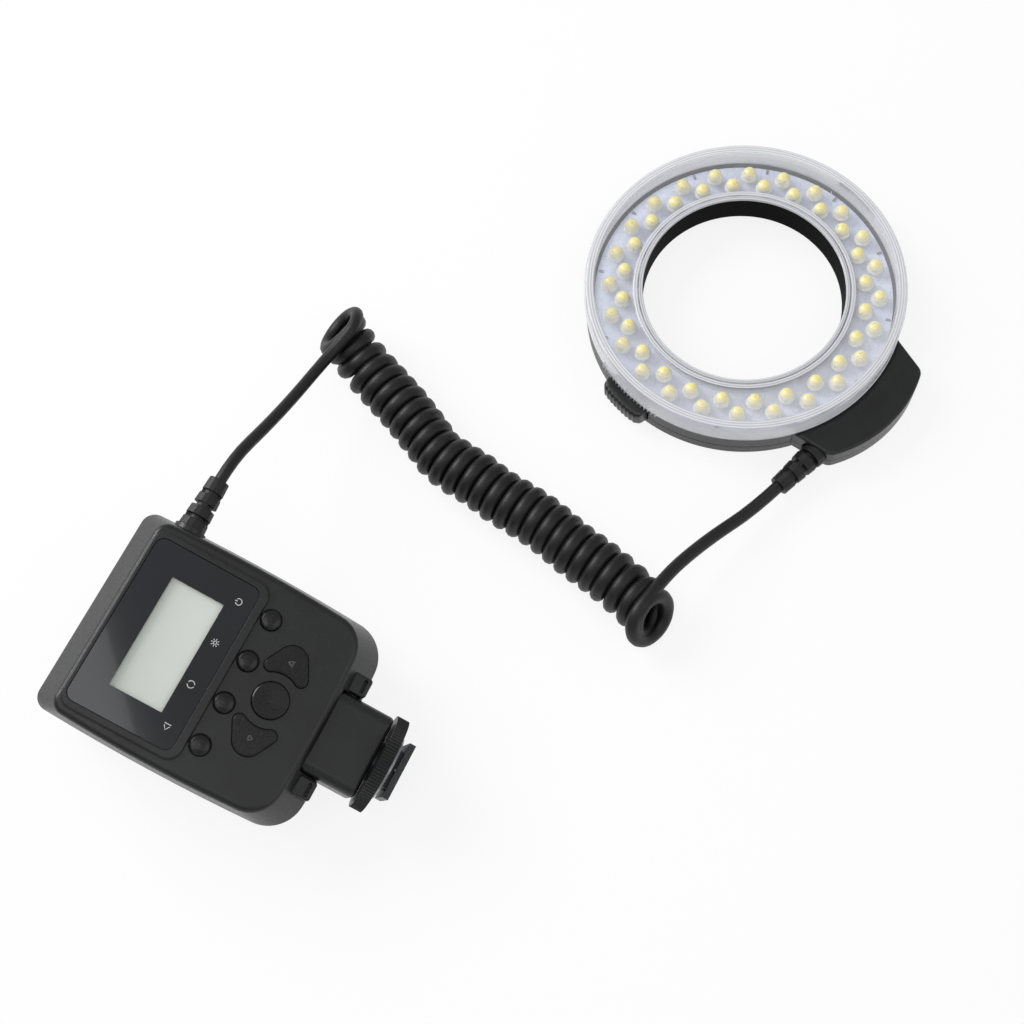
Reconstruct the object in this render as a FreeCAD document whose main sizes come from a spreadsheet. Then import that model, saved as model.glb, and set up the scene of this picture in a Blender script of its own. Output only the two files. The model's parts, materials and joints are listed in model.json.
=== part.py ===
# LED ring light: a ring head with 48 lamps, a curly cord and a shoe-mounted controller.
# The frame: millimetres, Z up, origin at the middle of the ring's bore on the surface it lies on.
import FreeCAD, Part
import math
import os
from types import SimpleNamespace
import Sketcher
from FreeCAD import Placement, Rotation, Vector

doc = FreeCAD.newDocument("ring_light")
sheet = doc.addObject("Spreadsheet::Sheet", "Sizes")

SIZES = {
    # Ring head, heights counted from the surface it lies on
    "ring_radius": 54.8,
    "ring_wall": 2.2,
    "rear_plate": 2.0,
    "rear_cover_height": 4.3,
    "seam_gap": 0.3,
    "housing_height": 11.0,
    "floor_plate": 1.4,
    "ring_band": 19.9,
    "sleeve_wall": 1.3,
    "sleeve_flange": 2.4,
    "flange_thickness": 1.1,
    "sleeve_top": 15.4,
    "recess_inset": 11.8,
    "recess_wall": 1.6,
    "recess_depth": 6.2,
    "board_gap": 1.2,
    "board_thickness": 1.6,
    "board_inset": 3.0,
    "fit_gap": 0.2,
    "boss_radius": 1.9,
    # Clear cover
    "cover_overhang": 0.4,
    "cover_height": 20.0,
    "cover_wall": 2.2,
    "rim_width": 3.4,
    "lip_height": 16.2,
    "lip_width": 1.9,
    "plate_drop": 0.9,
    "plate_thickness": 1.2,
    "cover_gap": 0.1,
    "tooth_depth": 0.8,
    "tooth_height": 3.6,
    "tooth_pitch": 1.5,
    "tooth_count": 18,
    # Lamps
    "lamp_radius": 2.5,
    "lamp_height": 4.2,
    "outer_inset": 8.15,
    "inner_inset": 12.75,
    "row_count": 24,
    "outer_turn": 9.6,
    "inner_turn": 2.2,
    "chip_length": 1.6,
    "chip_width": 0.8,
    # Release clips with their yokes
    "clip_turn": 41.5,
    "clip_reach": 4.8,
    "clip_half_width": 9.0,
    "clip_bottom": 2.8,
    "clip_top": 10.2,
    "clip_rib": 0.5,
    "clip_neck": 5.0,
    "clip_root": 1.2,
    "clip_window_gap": 0.4,
    "clip_travel": 1.2,
    "yoke_width": 2.8,
    "yoke_inset": 3.6,
    "yoke_thickness": 1.2,
    "yoke_gap": 0.5,
    "catch_half_width": 4.0,
    "catch_reach": 1.0,
    "spring_radius": 1.0,
    "spring_aside": 6.0,
    # Cable block
    "block_turn": -47.5,
    "block_depth": 13.9,
    "block_corner_depth": 8.0,
    "block_half_width": 22.4,
    "block_root_inset": 6.8,
    "block_root_half": 25.6,
    "block_corner": 4.0,
    "block_bottom": 0.8,
    "block_split": 6.2,
    "block_top": 11.6,
    "block_wall": 1.8,
    "relief_out": 2.7,
    "relief_seat": 22.9,
    # Cord
    "cord_diameter": 4.0,
    "coil_diameter": 19.0,
    "coil_turns": 29,
    "coil_pitch_change": 0.04,
    "coil_start_turn": 75.0,
    "coil_end_turn": 90.0,
    "coil_start_lean": 12.0,
    "coil_end_lean": 18.0,
    "cord_sides": 6,
    "cord_straight": 4.6,
    "relief_base": 9.2,
    "relief_tip": 6.6,
    "relief_length": 18.0,
    "relief_collars": 4,
    # Controller: along it from its top end, across it, and down from its face
    "body_x": -202.6,
    "body_y": -122.3,
    "body_heading": -26.92,
    "body_top_end": -3.0,
    "body_foot_end": 85.2,
    "body_half": 34.4,
    "body_bow": 1.3,
    "foot_bow": 1.6,
    "body_corner": 4.6,
    "foot_corner": 12.0,
    "parting_depth": 14.0,
    "parting_gap": 0.2,
    "back_depth": 62.0,
    "back_slope": 18.0,
    "back_draft": 4.0,
    "deck_top_end": 3.6,
    "deck_foot_end": 76.6,
    "flank_lean": 1.8,
    "deck_shift": -1.0,
    "deck_corner": 4.8,
    "deck_round": 2.0,
    "shell_wall": 2.2,
    "deck_thickness": 3.0,
    "plateau_rise": 1.2,
    "plateau_start": 3.9,
    "plateau_end": 44.0,
    "plateau_margin": 2.2,
    "plateau_corner": 4.6,
    "plateau_round": 0.7,
    "panel_start": 5.3,
    "panel_end": 41.2,
    "panel_margin": 2.3,
    "panel_corner": 3.2,
    "window_depth": 1.4,
    "window_thickness": 1.2,
    "display_start": 15.1,
    "display_end": 32.9,
    "display_half": 18.65,
    "display_rim": 2.0,
    # Buttons
    "button_radius": 3.2,
    "button_row": 47.7,
    "button_pitch": 14.4,
    "button_rise": 1.8,
    "button_flange": 0.9,
    "flange_reach": 0.8,
    "set_radius": 5.7,
    "set_rise": 0.9,
    "set_place": 59.6,
    "arrow_end": 4.9,
    "arrow_end_place": 13.5,
    "arrow_corner": 2.0,
    "arrow_corner_place": 9.6,
    "arrow_corner_spread": 5.3,
    "guide_gap": 0.25,
    "mark_reach": 1.5,
    "mark_line": 0.45,
    "mark_depth": 0.25,
    "mat_start": 43.8,
    "mat_half": 24.4,
    "mat_depth": 5.8,
    "mat_thickness": 1.6,
    "circuit_depth": 7.4,
    "circuit_start": 9.0,
    "circuit_end": 71.0,
    "circuit_margin": 7.6,
    # Batteries
    "cell_radius": 7.1,
    "cell_length": 50.5,
    "cell_gap": 0.3,
    "tray_start": 9.0,
    "tray_depth": 14.9,
    "tray_wall": 1.0,
    "contact_thickness": 0.5,
    "door_thickness": 1.8,
    "door_gap": 0.3,
    "door_half": 15.0,
    "door_knuckle": 10.8,
    "door_middle": 30.4,
    "door_clearance": 0.6,
    "door_barrel": 1.6,
    "door_pin_radius": 0.6,
    # Neck, lock wheel and shoe foot
    "neck_half_width": 13.9,
    "neck_half_height": 9.0,
    "neck_depth": 12.5,
    "neck_length": 11.2,
    "neck_root": 12.6,
    "neck_room": 15.2,
    "neck_corner": 3.5,
    "neck_flange": 2.0,
    "wheel_radius": 15.9,
    "wheel_gap": 0.8,
    "wheel_thickness": 4.0,
    "wheel_teeth": 90,
    "wheel_tooth": 0.45,
    "running_gap": 0.06,
    "stem_radius": 6.4,
    "stem_start": 84.0,
    "clamp_radius": 10.4,
    "clamp_thickness": 1.0,
    "clamp_gap": 0.25,
    "foot_width": 18.6,
    "foot_length": 18.0,
    "foot_thickness": 2.1,
    "foot_reach": 8.8,
    "foot_web": 12.4,
    "lock_pin_radius": 0.8,
    "lock_pin_place": 6.6,
    "contact_radius": 0.9,
    "screw_radius": 1.5,
    "shell_screw_inset": 7.5,
    "relief_place": 11.5,
    "relief_depth": 12.0,
    "relief_proud": 0.7,
    "end_cover_place": 17.9,
    "end_cover_half": 3.3,
    "end_cover_inset": 0.3,
    "end_cover_length": 9.9,
    "end_slot_inset": 2.6,
    "end_cover_top": 5.4,
    "end_slot_length": 4.6,
    "end_slot_width": 1.2,
}


class Size:
    """A number from the sheet, or a sum of such numbers, with the same sum as an expression."""

    def __init__(self, value, text):
        self.value = float(value)
        self.text = text

    def __float__(self):
        return self.value

    def __add__(self, other):
        other = as_size(other)
        return Size(self.value + other.value, f"({self.text} + {other.text})")

    def __sub__(self, other):
        other = as_size(other)
        return Size(self.value - other.value, f"({self.text} - {other.text})")

    def __mul__(self, other):
        other = as_size(other)
        return Size(self.value * other.value, f"({self.text} * {other.text})")

    def __truediv__(self, other):
        other = as_size(other)
        return Size(self.value / other.value, f"({self.text} / {other.text})")

    def __neg__(self):
        return Size(-self.value, f"(0 - {self.text})")


def as_size(number):
    """A plain number as a Size."""
    return number if isinstance(number, Size) else Size(number, repr(float(number)))


for row, (alias, value) in enumerate(SIZES.items(), start=1):
    sheet.set(f"A{row}", alias)
    sheet.set(f"B{row}", str(value))
    sheet.setAlias(f"B{row}", alias)
doc.recompute()
d = SimpleNamespace(**{alias: Size(value, f"Sizes.{alias}") for alias, value in SIZES.items()})
n = SimpleNamespace(**SIZES)
nodes = []


def tie(name, size):
    """A size that follows from others, kept under its own name."""
    setattr(d, name, size)
    setattr(n, name, size.value)


tie("bore_radius", d.ring_radius - d.ring_band)
tie("recess_radius", d.ring_radius - d.recess_inset)
tie("board_outer", d.ring_radius - d.board_inset)
tie("cover_radius", d.ring_radius + d.cover_overhang)
tie("outer_row", d.ring_radius - d.outer_inset)
tie("inner_row", d.ring_radius - d.inner_inset)
tie("yoke_outer", d.ring_radius - d.yoke_inset)
tie("yoke_inner", d.yoke_outer - d.yoke_width)
tie("block_reach", d.ring_radius + d.block_depth)
tie("block_corner_reach", d.ring_radius + d.block_corner_depth)
tie("block_root", d.ring_radius - d.block_root_inset)
tie("relief_reach", d.ring_radius + d.relief_out)
tie("deck_half", d.body_half - d.flank_lean)
tie("plateau_half", d.deck_half - d.plateau_margin)
tie("panel_half", d.plateau_half - d.panel_margin)
tie("circuit_half", d.deck_half - d.circuit_margin)
tie("relief_stand", d.body_half + d.relief_proud)
tie("neck_end", d.body_foot_end + d.neck_length)
tie("wheel_start", d.neck_end + d.wheel_gap)
tie("foot_end", d.wheel_start + d.foot_reach)
tie("end_cover_reach", d.body_foot_end - d.end_cover_inset)


def node(thing, label, place=None):
    """Give a finished piece its name and its place, and keep it for the export."""
    thing.Label = label
    if place is not None:
        thing.Placement = place.multiply(thing.Placement)
    nodes.append(thing)
    return thing


def along(x, y, z, turn=0.0, axis=Vector(0, 0, 1)):
    """A placement at a point, turned about an axis."""
    return Placement(Vector(float(x), float(y), float(z)), Rotation(axis, float(turn)))


def primitive(kind, place=None, **sizes):
    """A Part primitive whose sizes are bound to the sheet."""
    thing = doc.addObject(f"Part::{kind}", kind)
    for name, size in sizes.items():
        size = as_size(size)
        setattr(thing, name, size.value)
        thing.setExpression(name, size.text)
    if place is not None:
        thing.Placement = place
    return thing


def block(x0, x1, y0, y1, z0, z1, place=None):
    """A box between two corners, its sides bound to the sheet."""
    x0, x1, y0, y1, z0, z1 = (as_size(side) for side in (x0, x1, y0, y1, z0, z1))
    corner = Placement(Vector(x0.value, y0.value, z0.value), Rotation())
    place = corner if place is None else place.multiply(corner)
    return primitive("Box", place, Length=x1 - x0, Width=y1 - y0, Height=z1 - z0)


def rod(radius, height, place):
    """A round rod from its foot upwards."""
    return primitive("Cylinder", place, Radius=radius, Height=height)


def joined(*parts):
    """Several parts fused into one."""
    thing = doc.addObject("Part::MultiFuse", "Fusion")
    thing.Shapes = list(parts)
    return thing


def less(base, *tools):
    """A part with others cut away."""
    thing = doc.addObject("Part::Cut", "Cut")
    thing.Base = base
    thing.Tool = tools[0] if len(tools) == 1 else joined(*tools)
    return thing


def group(*parts):
    """Identical pieces kept together as separate solids."""
    thing = doc.addObject("Part::Compound", "Group")
    thing.Links = list(parts)
    return thing


def shaped(shape, name="Form"):
    """A piece whose shape is worked out here."""
    thing = doc.addObject("Part::Feature", name)
    thing.Shape = shape
    return thing


def plane_of(body, role):
    """One of a body's own origin planes."""
    return next(item for item in body.Origin.OriginFeatures if item.Role == role)


def profile(body, role, corners):
    """A closed sketch of straight lines, every corner placed by two bound dimensions."""
    sketch = body.newObject("Sketcher::SketchObject", "Profile")
    sketch.AttachmentSupport = [(plane_of(body, role), "")]
    sketch.MapMode = "FlatFace"
    corners = [(as_size(x), as_size(y)) for x, y in corners]
    points = [Vector(x.value, y.value, 0) for x, y in corners]
    count = len(points)
    for i in range(count):
        sketch.addGeometry(Part.LineSegment(points[i], points[(i + 1) % count]), False)
    for i in range(count):
        sketch.addConstraint(Sketcher.Constraint("Coincident", i, 2, (i + 1) % count, 1))
    for i, (x, y) in enumerate(corners):
        for kind, size in (("DistanceX", x), ("DistanceY", y)):
            index = sketch.addConstraint(Sketcher.Constraint(kind, -1, 1, i, 1, size.value))
            sketch.setExpression(f"Constraints[{index}]", size.text)
    return sketch


def turned(corners, label=None, place=None):
    """A body turned about the vertical axis from a half section of (radius, height) corners."""
    body = doc.addObject("PartDesign::Body", "Turned")
    sketch = profile(body, "XZ_Plane", corners)
    revolution = body.newObject("PartDesign::Revolution", "Revolution")
    revolution.Profile = sketch
    revolution.ReferenceAxis = (sketch, ["V_Axis"])
    revolution.Angle = 360.0
    body.Tip = revolution
    sketch.Visibility = False
    if label:
        node(body, label, place)
    elif place is not None:
        body.Placement = place
    return body


def stack(levels, sides, turn=0.5):
    """A many-sided solid through regular polygons, each level a (height, radius) pair."""
    rings = []
    for height, radius in levels:
        angles = [2 * math.pi * (i + turn) / sides for i in range(sides)]
        rings.append([Vector(radius * math.cos(a), radius * math.sin(a), height) for a in angles])
    faces = [Part.Face(Part.makePolygon(ring + ring[:1])) for ring in (rings[0], rings[-1])]
    for low, high in zip(rings, rings[1:]):
        for i in range(sides):
            j = (i + 1) % sides
            faces.append(Part.Face(Part.makePolygon([low[i], low[j], high[j], high[i], low[i]])))
    solid = Part.Solid(Part.Shell(faces))
    if solid.Volume < 0:
        solid.reverse()
    return solid


def spun(shape, angle):
    """A copy of a shape turned about the vertical axis."""
    copy = shape.copy()
    copy.rotate(Vector(0, 0, 0), Vector(0, 0, 1), angle)
    return copy


# Ring head: rear cover
recess_wall_outer = d.recess_radius + d.recess_wall
wall_inner = d.ring_radius - d.ring_wall
clip_levels = (
    d.rear_plate + d.yoke_gap,
    d.rear_plate + d.yoke_gap * 2 + d.yoke_thickness,
)
yoke_places = (Placement(Vector(), Rotation(Vector(0, 0, 1), n.clip_turn + 180)),
               Placement(Vector(), Rotation(Vector(0, 0, 1), n.clip_turn)))


def clip_window(place):
    """The opening in the outer wall that a clip's neck passes through."""
    half = d.clip_half_width + d.clip_window_gap
    return block(wall_inner - 1, d.ring_radius + 1, -half, half,
                 d.clip_bottom - d.clip_window_gap, d.clip_top + d.clip_window_gap, place)


def catch_slot(place):
    """The slot in the recess wall that a yoke's catch passes through, opposite its clip."""
    half = d.catch_half_width + d.clip_window_gap
    return block(-recess_wall_outer - 1, -d.recess_radius + 1.5, -half, half,
                 d.rear_plate, d.recess_depth - 0.6, place)


rear_cover = turned([
    (d.recess_radius, 0),
    (d.ring_radius, 0),
    (d.ring_radius, d.rear_cover_height),
    (wall_inner, d.rear_cover_height),
    (wall_inner, d.rear_plate),
    (recess_wall_outer, d.rear_plate),
    (recess_wall_outer, d.recess_depth),
    (d.recess_radius, d.recess_depth),
])
screw_turns = [n.clip_turn + 90 + side + step for side in (0, 180) for step in (-12, 12)]
screw_ring = d.recess_radius + d.recess_wall + d.boss_radius - 0.4
screw_wells = [
    rod(d.screw_radius + 0.1, d.rear_plate + 1,
        Placement(Vector(), Rotation(Vector(0, 0, 1), turn)).multiply(along(screw_ring, 0, -0.5)))
    for turn in screw_turns
]
node(less(rear_cover,
          *[clip_window(place) for place in yoke_places],
          *[catch_slot(place) for place in yoke_places],
          *screw_wells), "ring_rear_cover")

# Ring head: housing, a tray that carries the board
housing_floor_top = d.recess_depth + d.floor_plate
board_bottom = housing_floor_top + d.board_gap
board_top = board_bottom + d.board_thickness
sleeve_outer = d.bore_radius + d.sleeve_wall
housing = turned([
    (sleeve_outer + d.fit_gap, d.recess_depth),
    (wall_inner, d.recess_depth),
    (wall_inner, d.rear_cover_height + d.seam_gap),
    (d.ring_radius, d.rear_cover_height + d.seam_gap),
    (d.ring_radius, d.housing_height),
    (wall_inner, d.housing_height),
    (wall_inner, housing_floor_top),
    (sleeve_outer + d.fit_gap, housing_floor_top),
])
board_bosses = [
    rod(d.boss_radius, d.board_gap + 0.1,
        Placement(Vector(), Rotation(Vector(0, 0, 1), 60 * i + 10)).multiply(
            along((d.outer_row + d.inner_row) / 2, 0, housing_floor_top - 0.1)))
    for i in range(6)
]
screw_bosses = [
    rod(d.boss_radius, d.recess_depth - d.rear_plate + 0.1,
        Placement(Vector(), Rotation(Vector(0, 0, 1), turn)).multiply(
            along(screw_ring, 0, d.rear_plate)))
    for turn in screw_turns
]
port_place = Placement(Vector(), Rotation(Vector(0, 0, 1), n.block_turn))
wire_port = block(wall_inner - 1, d.ring_radius + 1, -4, 4,
                  housing_floor_top, d.housing_height - 0.8, port_place)
boss_holes = [
    rod(d.screw_radius - 0.3, d.recess_depth,
        Placement(Vector(), Rotation(Vector(0, 0, 1), turn)).multiply(
            along(screw_ring, 0, d.rear_plate - 0.5)))
    for turn in screw_turns
]
wall_space = rod(recess_wall_outer + d.fit_gap, d.recess_depth, along(0, 0, 0))
node(less(joined(housing, *board_bosses, *screw_bosses), wall_space,
          *[clip_window(place) for place in yoke_places], wire_port, *boss_holes), "ring_housing")

# Ring head: black sleeve that lines the bore
flange_bottom = d.recess_depth - d.flange_thickness
turned([
    (d.bore_radius, flange_bottom),
    (sleeve_outer + d.sleeve_flange, flange_bottom),
    (sleeve_outer + d.sleeve_flange, d.recess_depth),
    (sleeve_outer, d.recess_depth),
    (sleeve_outer, d.sleeve_top),
    (d.bore_radius, d.sleeve_top),
], "bore_sleeve")

# Ring head: board with two staggered rows of lamps and the chips between them
lip_outer = sleeve_outer + d.fit_gap + d.lip_width
board_inner = sleeve_outer + d.fit_gap
turned([
    (board_inner, board_bottom),
    (d.board_outer, board_bottom),
    (d.board_outer, board_top),
    (board_inner, board_top),
], "led_board")


def lamp_row(radius, first_turn, label):
    """A ring of round-topped lamps standing on the board."""
    lamp = stack([
        (0, n.lamp_radius),
        (n.lamp_height * 0.62, n.lamp_radius),
        (n.lamp_height, n.lamp_radius * 0.55),
    ], 8)
    lamp.translate(Vector(radius, 0, float(board_top)))
    step = 360.0 / n.row_count
    lamps = [spun(lamp, first_turn + step * i) for i in range(n.row_count)]
    return node(shaped(Part.makeCompound(lamps), "Lamps"), label)


lamp_row(n.outer_row, n.outer_turn, "outer_lamps")
lamp_row(n.inner_row, n.inner_turn, "inner_lamps")
chip = Part.makeBox(n.chip_length, n.chip_width, 0.5,
                    Vector(n.outer_row + 3.1, -n.chip_width / 2, float(board_top)))
chips = [spun(chip, n.outer_turn + 7.5 + 30 * i) for i in range(12)]
node(shaped(Part.makeCompound(chips), "Chips"), "board_chips")

# Ring head: clear cover, a dish whose plate slopes down to a lip round the bore
cover_inner = d.cover_radius - d.cover_wall
rim_inner = d.cover_radius - d.rim_width
cover_bottom = d.housing_height + d.cover_gap
plate_outer_top = d.cover_height - d.plate_drop
lip_inner = sleeve_outer + d.fit_gap
cover = turned([
    (cover_inner, cover_bottom),
    (d.cover_radius, cover_bottom),
    (d.cover_radius, d.cover_height - 0.5),
    (d.cover_radius - 0.5, d.cover_height),
    (rim_inner, d.cover_height),
    (rim_inner - 0.3, plate_outer_top),
    (lip_outer + 0.3, d.lip_height - 0.4),
    (lip_outer, d.lip_height),
    (lip_inner, d.lip_height),
    (lip_inner, board_top + d.fit_gap),
    (lip_inner + 1.2, board_top + d.fit_gap),
    (lip_inner + 1.2, d.lip_height - d.plate_thickness - 0.5),
    (cover_inner, plate_outer_top - d.plate_thickness),
])
tooth_step = math.degrees(n.tooth_pitch / n.cover_radius)
tooth_root = n.cover_radius - 0.3
tooth_half = n.tooth_pitch * 0.32
tooth_face = Part.Face(Part.makePolygon([
    Vector(tooth_root, -tooth_half, float(cover_bottom)),
    Vector(n.cover_radius + n.tooth_depth, 0, float(cover_bottom)),
    Vector(tooth_root, tooth_half, float(cover_bottom)),
    Vector(tooth_root, -tooth_half, float(cover_bottom)),
]))
tooth = tooth_face.extrude(Vector(0, 0, n.tooth_height))
teeth = [
    spun(tooth, n.clip_turn + side + tooth_step * (i - (n.tooth_count - 1) / 2))
    for side in (0, 180) for i in range(n.tooth_count)
]
node(joined(cover, shaped(Part.makeCompound(teeth), "Teeth")), "clear_cover")

# Release clips: a ribbed pad outside, and a yoke round the recess with a catch opposite the pad
for place, level, side in zip(yoke_places, clip_levels, ("left", "right")):
    pad_inner = d.ring_radius - d.clip_root
    pad_outer = d.ring_radius + d.clip_reach
    pad = block(pad_inner, pad_outer, -d.clip_half_width, d.clip_half_width,
                d.clip_bottom, d.clip_top)
    arc = rod(pad_outer, d.clip_top - d.clip_bottom, along(0, 0, d.clip_bottom))
    rounded = doc.addObject("Part::Common", "Pad")
    rounded.Base = pad
    rounded.Tool = arc
    ribs = []
    rib_count = 7
    for i in range(rib_count):
        lean = (i - (rib_count - 1) / 2) * 2.1
        spoke = Placement(Vector(), Rotation(Vector(0, 0, 1), lean))
        ribs.append(block(pad_outer - 0.6, pad_outer + d.clip_rib, -0.45, 0.45,
                          d.clip_bottom + 0.8, d.clip_top - 0.8, spoke))
    node(joined(rounded, *ribs), f"clip_pad_{side}", place)
    yoke_ring = less(rod(d.yoke_outer, d.yoke_thickness, along(0, 0, level)),
                     rod(d.yoke_inner, d.yoke_thickness + 2, along(0, 0, level - 1)))
    catch = block(-d.yoke_inner - 0.2, -d.recess_radius + d.catch_reach,
                  -d.catch_half_width, d.catch_half_width, level, level + d.yoke_thickness)
    stalk_end = block(d.yoke_outer - 0.2, pad_inner, -d.clip_neck, d.clip_neck,
                      level, level + d.yoke_thickness)
    node(joined(yoke_ring, catch, stalk_end), f"clip_yoke_{side}", place)

springs = []
spring_reach = d.yoke_inner - recess_wall_outer - d.clip_travel - 0.6
for place, level in zip(yoke_places, clip_levels):
    for aside in (-n.spring_aside, n.spring_aside):
        lying = place.multiply(Placement(
            Vector(float(recess_wall_outer) - 0.1, aside, float(level + d.yoke_thickness / 2)),
            Rotation(Vector(0, 1, 0), 90)))
        springs.append(less(rod(d.spring_radius, spring_reach, lying),
                            rod(d.spring_radius / 2, spring_reach, lying)))
node(group(*springs), "clip_springs")

rear_screws = []
for turn in screw_turns:
    place = Placement(Vector(), Rotation(Vector(0, 0, 1), turn)).multiply(along(screw_ring, 0, 0.4))
    shank = place.multiply(along(0, 0, n.rear_plate - 0.5))
    rear_screws.append(joined(rod(d.screw_radius, d.rear_plate - 0.4, place),
                              rod(d.screw_radius - 0.35, d.recess_depth - d.rear_plate - 0.4, shank)))
node(group(*rear_screws), "ring_screws")

# Cable block: a base and a cover with one outline, hugging the ring
block_place = Placement(Vector(), Rotation(Vector(0, 0, 1), n.block_turn))


def block_outline(inset, low, high):
    """A prism of the block's outline: splayed sides, rounded corners and a bowed outer edge."""
    root, corner, reach = n.block_root, n.block_corner_reach - inset, n.block_reach - inset
    half, root_half = n.block_half_width - inset, n.block_root_half - inset
    wire = Part.Wire([
        Part.makeLine(Vector(root, -root_half, low), Vector(corner, -half, low)),
        Part.Arc(Vector(corner, -half, low), Vector(reach, 0, low), Vector(corner, half, low)).toShape(),
        Part.makeLine(Vector(corner, half, low), Vector(root, root_half, low)),
        Part.makeLine(Vector(root, root_half, low), Vector(root, -root_half, low)),
    ])
    solid = Part.Face(wire).extrude(Vector(0, 0, high - low))
    corners = [
        edge for edge in solid.Edges
        if edge.BoundBox.ZLength > (high - low) * 0.9 and edge.CenterOfMass.x > corner - 0.5
        and abs(abs(edge.CenterOfMass.y) - half) < 0.5
    ]
    return solid.makeFillet(max(n.block_corner - inset, 0.5), corners)


relief_height = (n.block_bottom + n.block_top) / 2


def block_half(low, high, hollow_low, hollow_high, edge_height):
    """One half of the block: its outline less its hollow and the ring's round side."""
    outer = block_outline(0, low, high)
    rim = [
        edge for edge in outer.Edges
        if abs(edge.BoundBox.ZMin - edge_height) < 1e-6 and abs(edge.BoundBox.ZMax - edge_height) < 1e-6
        and edge.CenterOfMass.x > n.block_root + 2
    ]
    outer = outer.makeFillet(1.0, rim)
    ring_side = Part.makeCylinder(n.ring_radius, n.housing_height + 10, Vector(0, 0, -10))
    cover_side = Part.makeCylinder(n.cover_radius + n.tooth_depth + 0.2, 20, Vector(0, 0, n.housing_height))
    hollow = block_outline(n.block_wall, hollow_low, hollow_high)
    notch = Part.makeCylinder(n.relief_base / 2 + 0.3, 20, Vector(n.relief_reach, -n.relief_seat, relief_height),
                              Vector(0, -1, 0))
    return outer.cut([ring_side, cover_side, hollow, notch])


cover_half = block_half(n.block_split + 0.1, n.block_top, n.block_split - 1, n.block_top - n.block_wall,
                        n.block_top)
base_half = block_half(n.block_bottom, n.block_split - 0.1, n.block_bottom + n.block_wall,
                       n.block_split + 1, n.block_bottom)
collar_hole = Part.makeCylinder(n.relief_tip / 2 - 0.6, 12, Vector(n.relief_reach, -14, relief_height),
                                Vector(0, -1, 0))
block_screw_places = [(n.block_root + 10.5, side * 13.5) for side in (-1, 1)]
for x, y in block_screw_places:
    post = Part.makeCylinder(2.4, n.block_split - n.block_bottom - 1.1, Vector(x, y, n.block_bottom + 1.0))
    base_half = base_half.fuse(post)
    base_half = base_half.cut(Part.makeCylinder(n.screw_radius + 0.1, 4.2, Vector(x, y, n.block_bottom - 0.1)))
node(shaped(cover_half.cut(collar_hole), "BlockCover"), "block_cover", block_place)
node(shaped(base_half.cut(collar_hole), "BlockBase"), "block_base", block_place)
node(group(*[
    rod(d.screw_radius, 3.6, block_place.multiply(along(x, y, n.block_bottom + 0.3)))
    for x, y in block_screw_places
]), "block_screws")
node(block(d.block_root + 8.0, d.block_root + 14.5, -15, 15,
           d.block_split - 0.1, d.block_split + 1.3, block_place), "block_board")


def relief(label, place):
    """A strain relief along Z: a core with tapering collars, joined by ribs a quarter turn apart."""
    collars = n.relief_collars
    pitch = n.relief_length / collars
    core = n.cord_diameter / 2 + 0.7
    slope = (n.relief_base - n.relief_tip) / 2 / n.relief_length
    levels = []
    for i in range(collars):
        low, high = i * pitch, i * pitch + pitch * 0.68
        levels += [(low, n.relief_base / 2 - slope * low), (high, n.relief_base / 2 - slope * high)]
        if i < collars - 1:
            levels += [(high, core), ((i + 1) * pitch, core)]
    levels[-1] = (n.relief_length, levels[-1][1])
    solid = stack(levels, 14)
    spigot = n.relief_tip / 2 - 0.65
    solid = solid.fuse(stack([(-2.4, spigot), (0.1, spigot)], 14))
    for i in range(collars - 1):
        half = n.relief_base / 2 - slope * (i + 1) * pitch - 0.3
        rib = Part.makeBox(2 * half, 1.8, pitch * 0.5,
                           Vector(-half, -0.9, i * pitch + pitch * 0.6))
        solid = solid.fuse(spun(rib, 90 * (i % 2)))
    return node(shaped(solid, "Relief"), label, place)


ring_relief_place = block_place.multiply(Placement(
    Vector(n.relief_reach, -n.relief_seat, relief_height),
    Rotation(Vector(1, 0, 0), 90)))
relief("ring_relief", ring_relief_place)

# Controller: its own frame runs along its face, X towards the foot, Y towards the cord, Z out of
# the face; it lies on its sloping back
face_height = n.back_depth * math.cos(math.radians(n.back_slope))
controller = Placement(
    Vector(n.body_x, n.body_y, face_height),
    Rotation(Vector(0, 0, 1), n.body_heading).multiply(Rotation(Vector(0, 1, 0), n.back_slope)))


def outline(top_end, foot_end, half, bow, depth, corners, shift=0.0):
    """A closed wire across the controller: straight top end, bowed sides, bowed foot end, round corners."""
    foot_side = foot_end - n.foot_bow
    middle = (top_end + foot_side) / 2
    points = [Vector(top_end, shift - half, -depth), Vector(foot_side, shift - half, -depth),
              Vector(foot_side, shift + half, -depth), Vector(top_end, shift + half, -depth)]
    wire = Part.Wire([
        Part.Arc(points[0], Vector(middle, shift - half - bow, -depth), points[1]).toShape(),
        Part.Arc(points[1], Vector(foot_end, shift, -depth), points[2]).toShape(),
        Part.Arc(points[2], Vector(middle, shift + half + bow, -depth), points[3]).toShape(),
        Part.makeLine(points[3], points[0]),
    ])
    slab = Part.Face(wire).extrude(Vector(0, 0, 1))
    upright = [edge for edge in slab.Edges if edge.BoundBox.ZLength > 0.9]
    top = [edge for edge in upright if edge.CenterOfMass.x < middle]
    foot = [edge for edge in upright if edge.CenterOfMass.x > middle]
    slab = slab.makeFillet(corners[0], top)
    foot = [
        edge for edge in slab.Edges
        if edge.BoundBox.ZLength > 0.9 and edge.CenterOfMass.x > foot_side - 1e-3
    ]
    slab = slab.makeFillet(corners[1], foot)
    floor = next(face for face in slab.Faces if abs(face.BoundBox.ZMax + depth) < 1e-5)
    return floor.OuterWire


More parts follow.
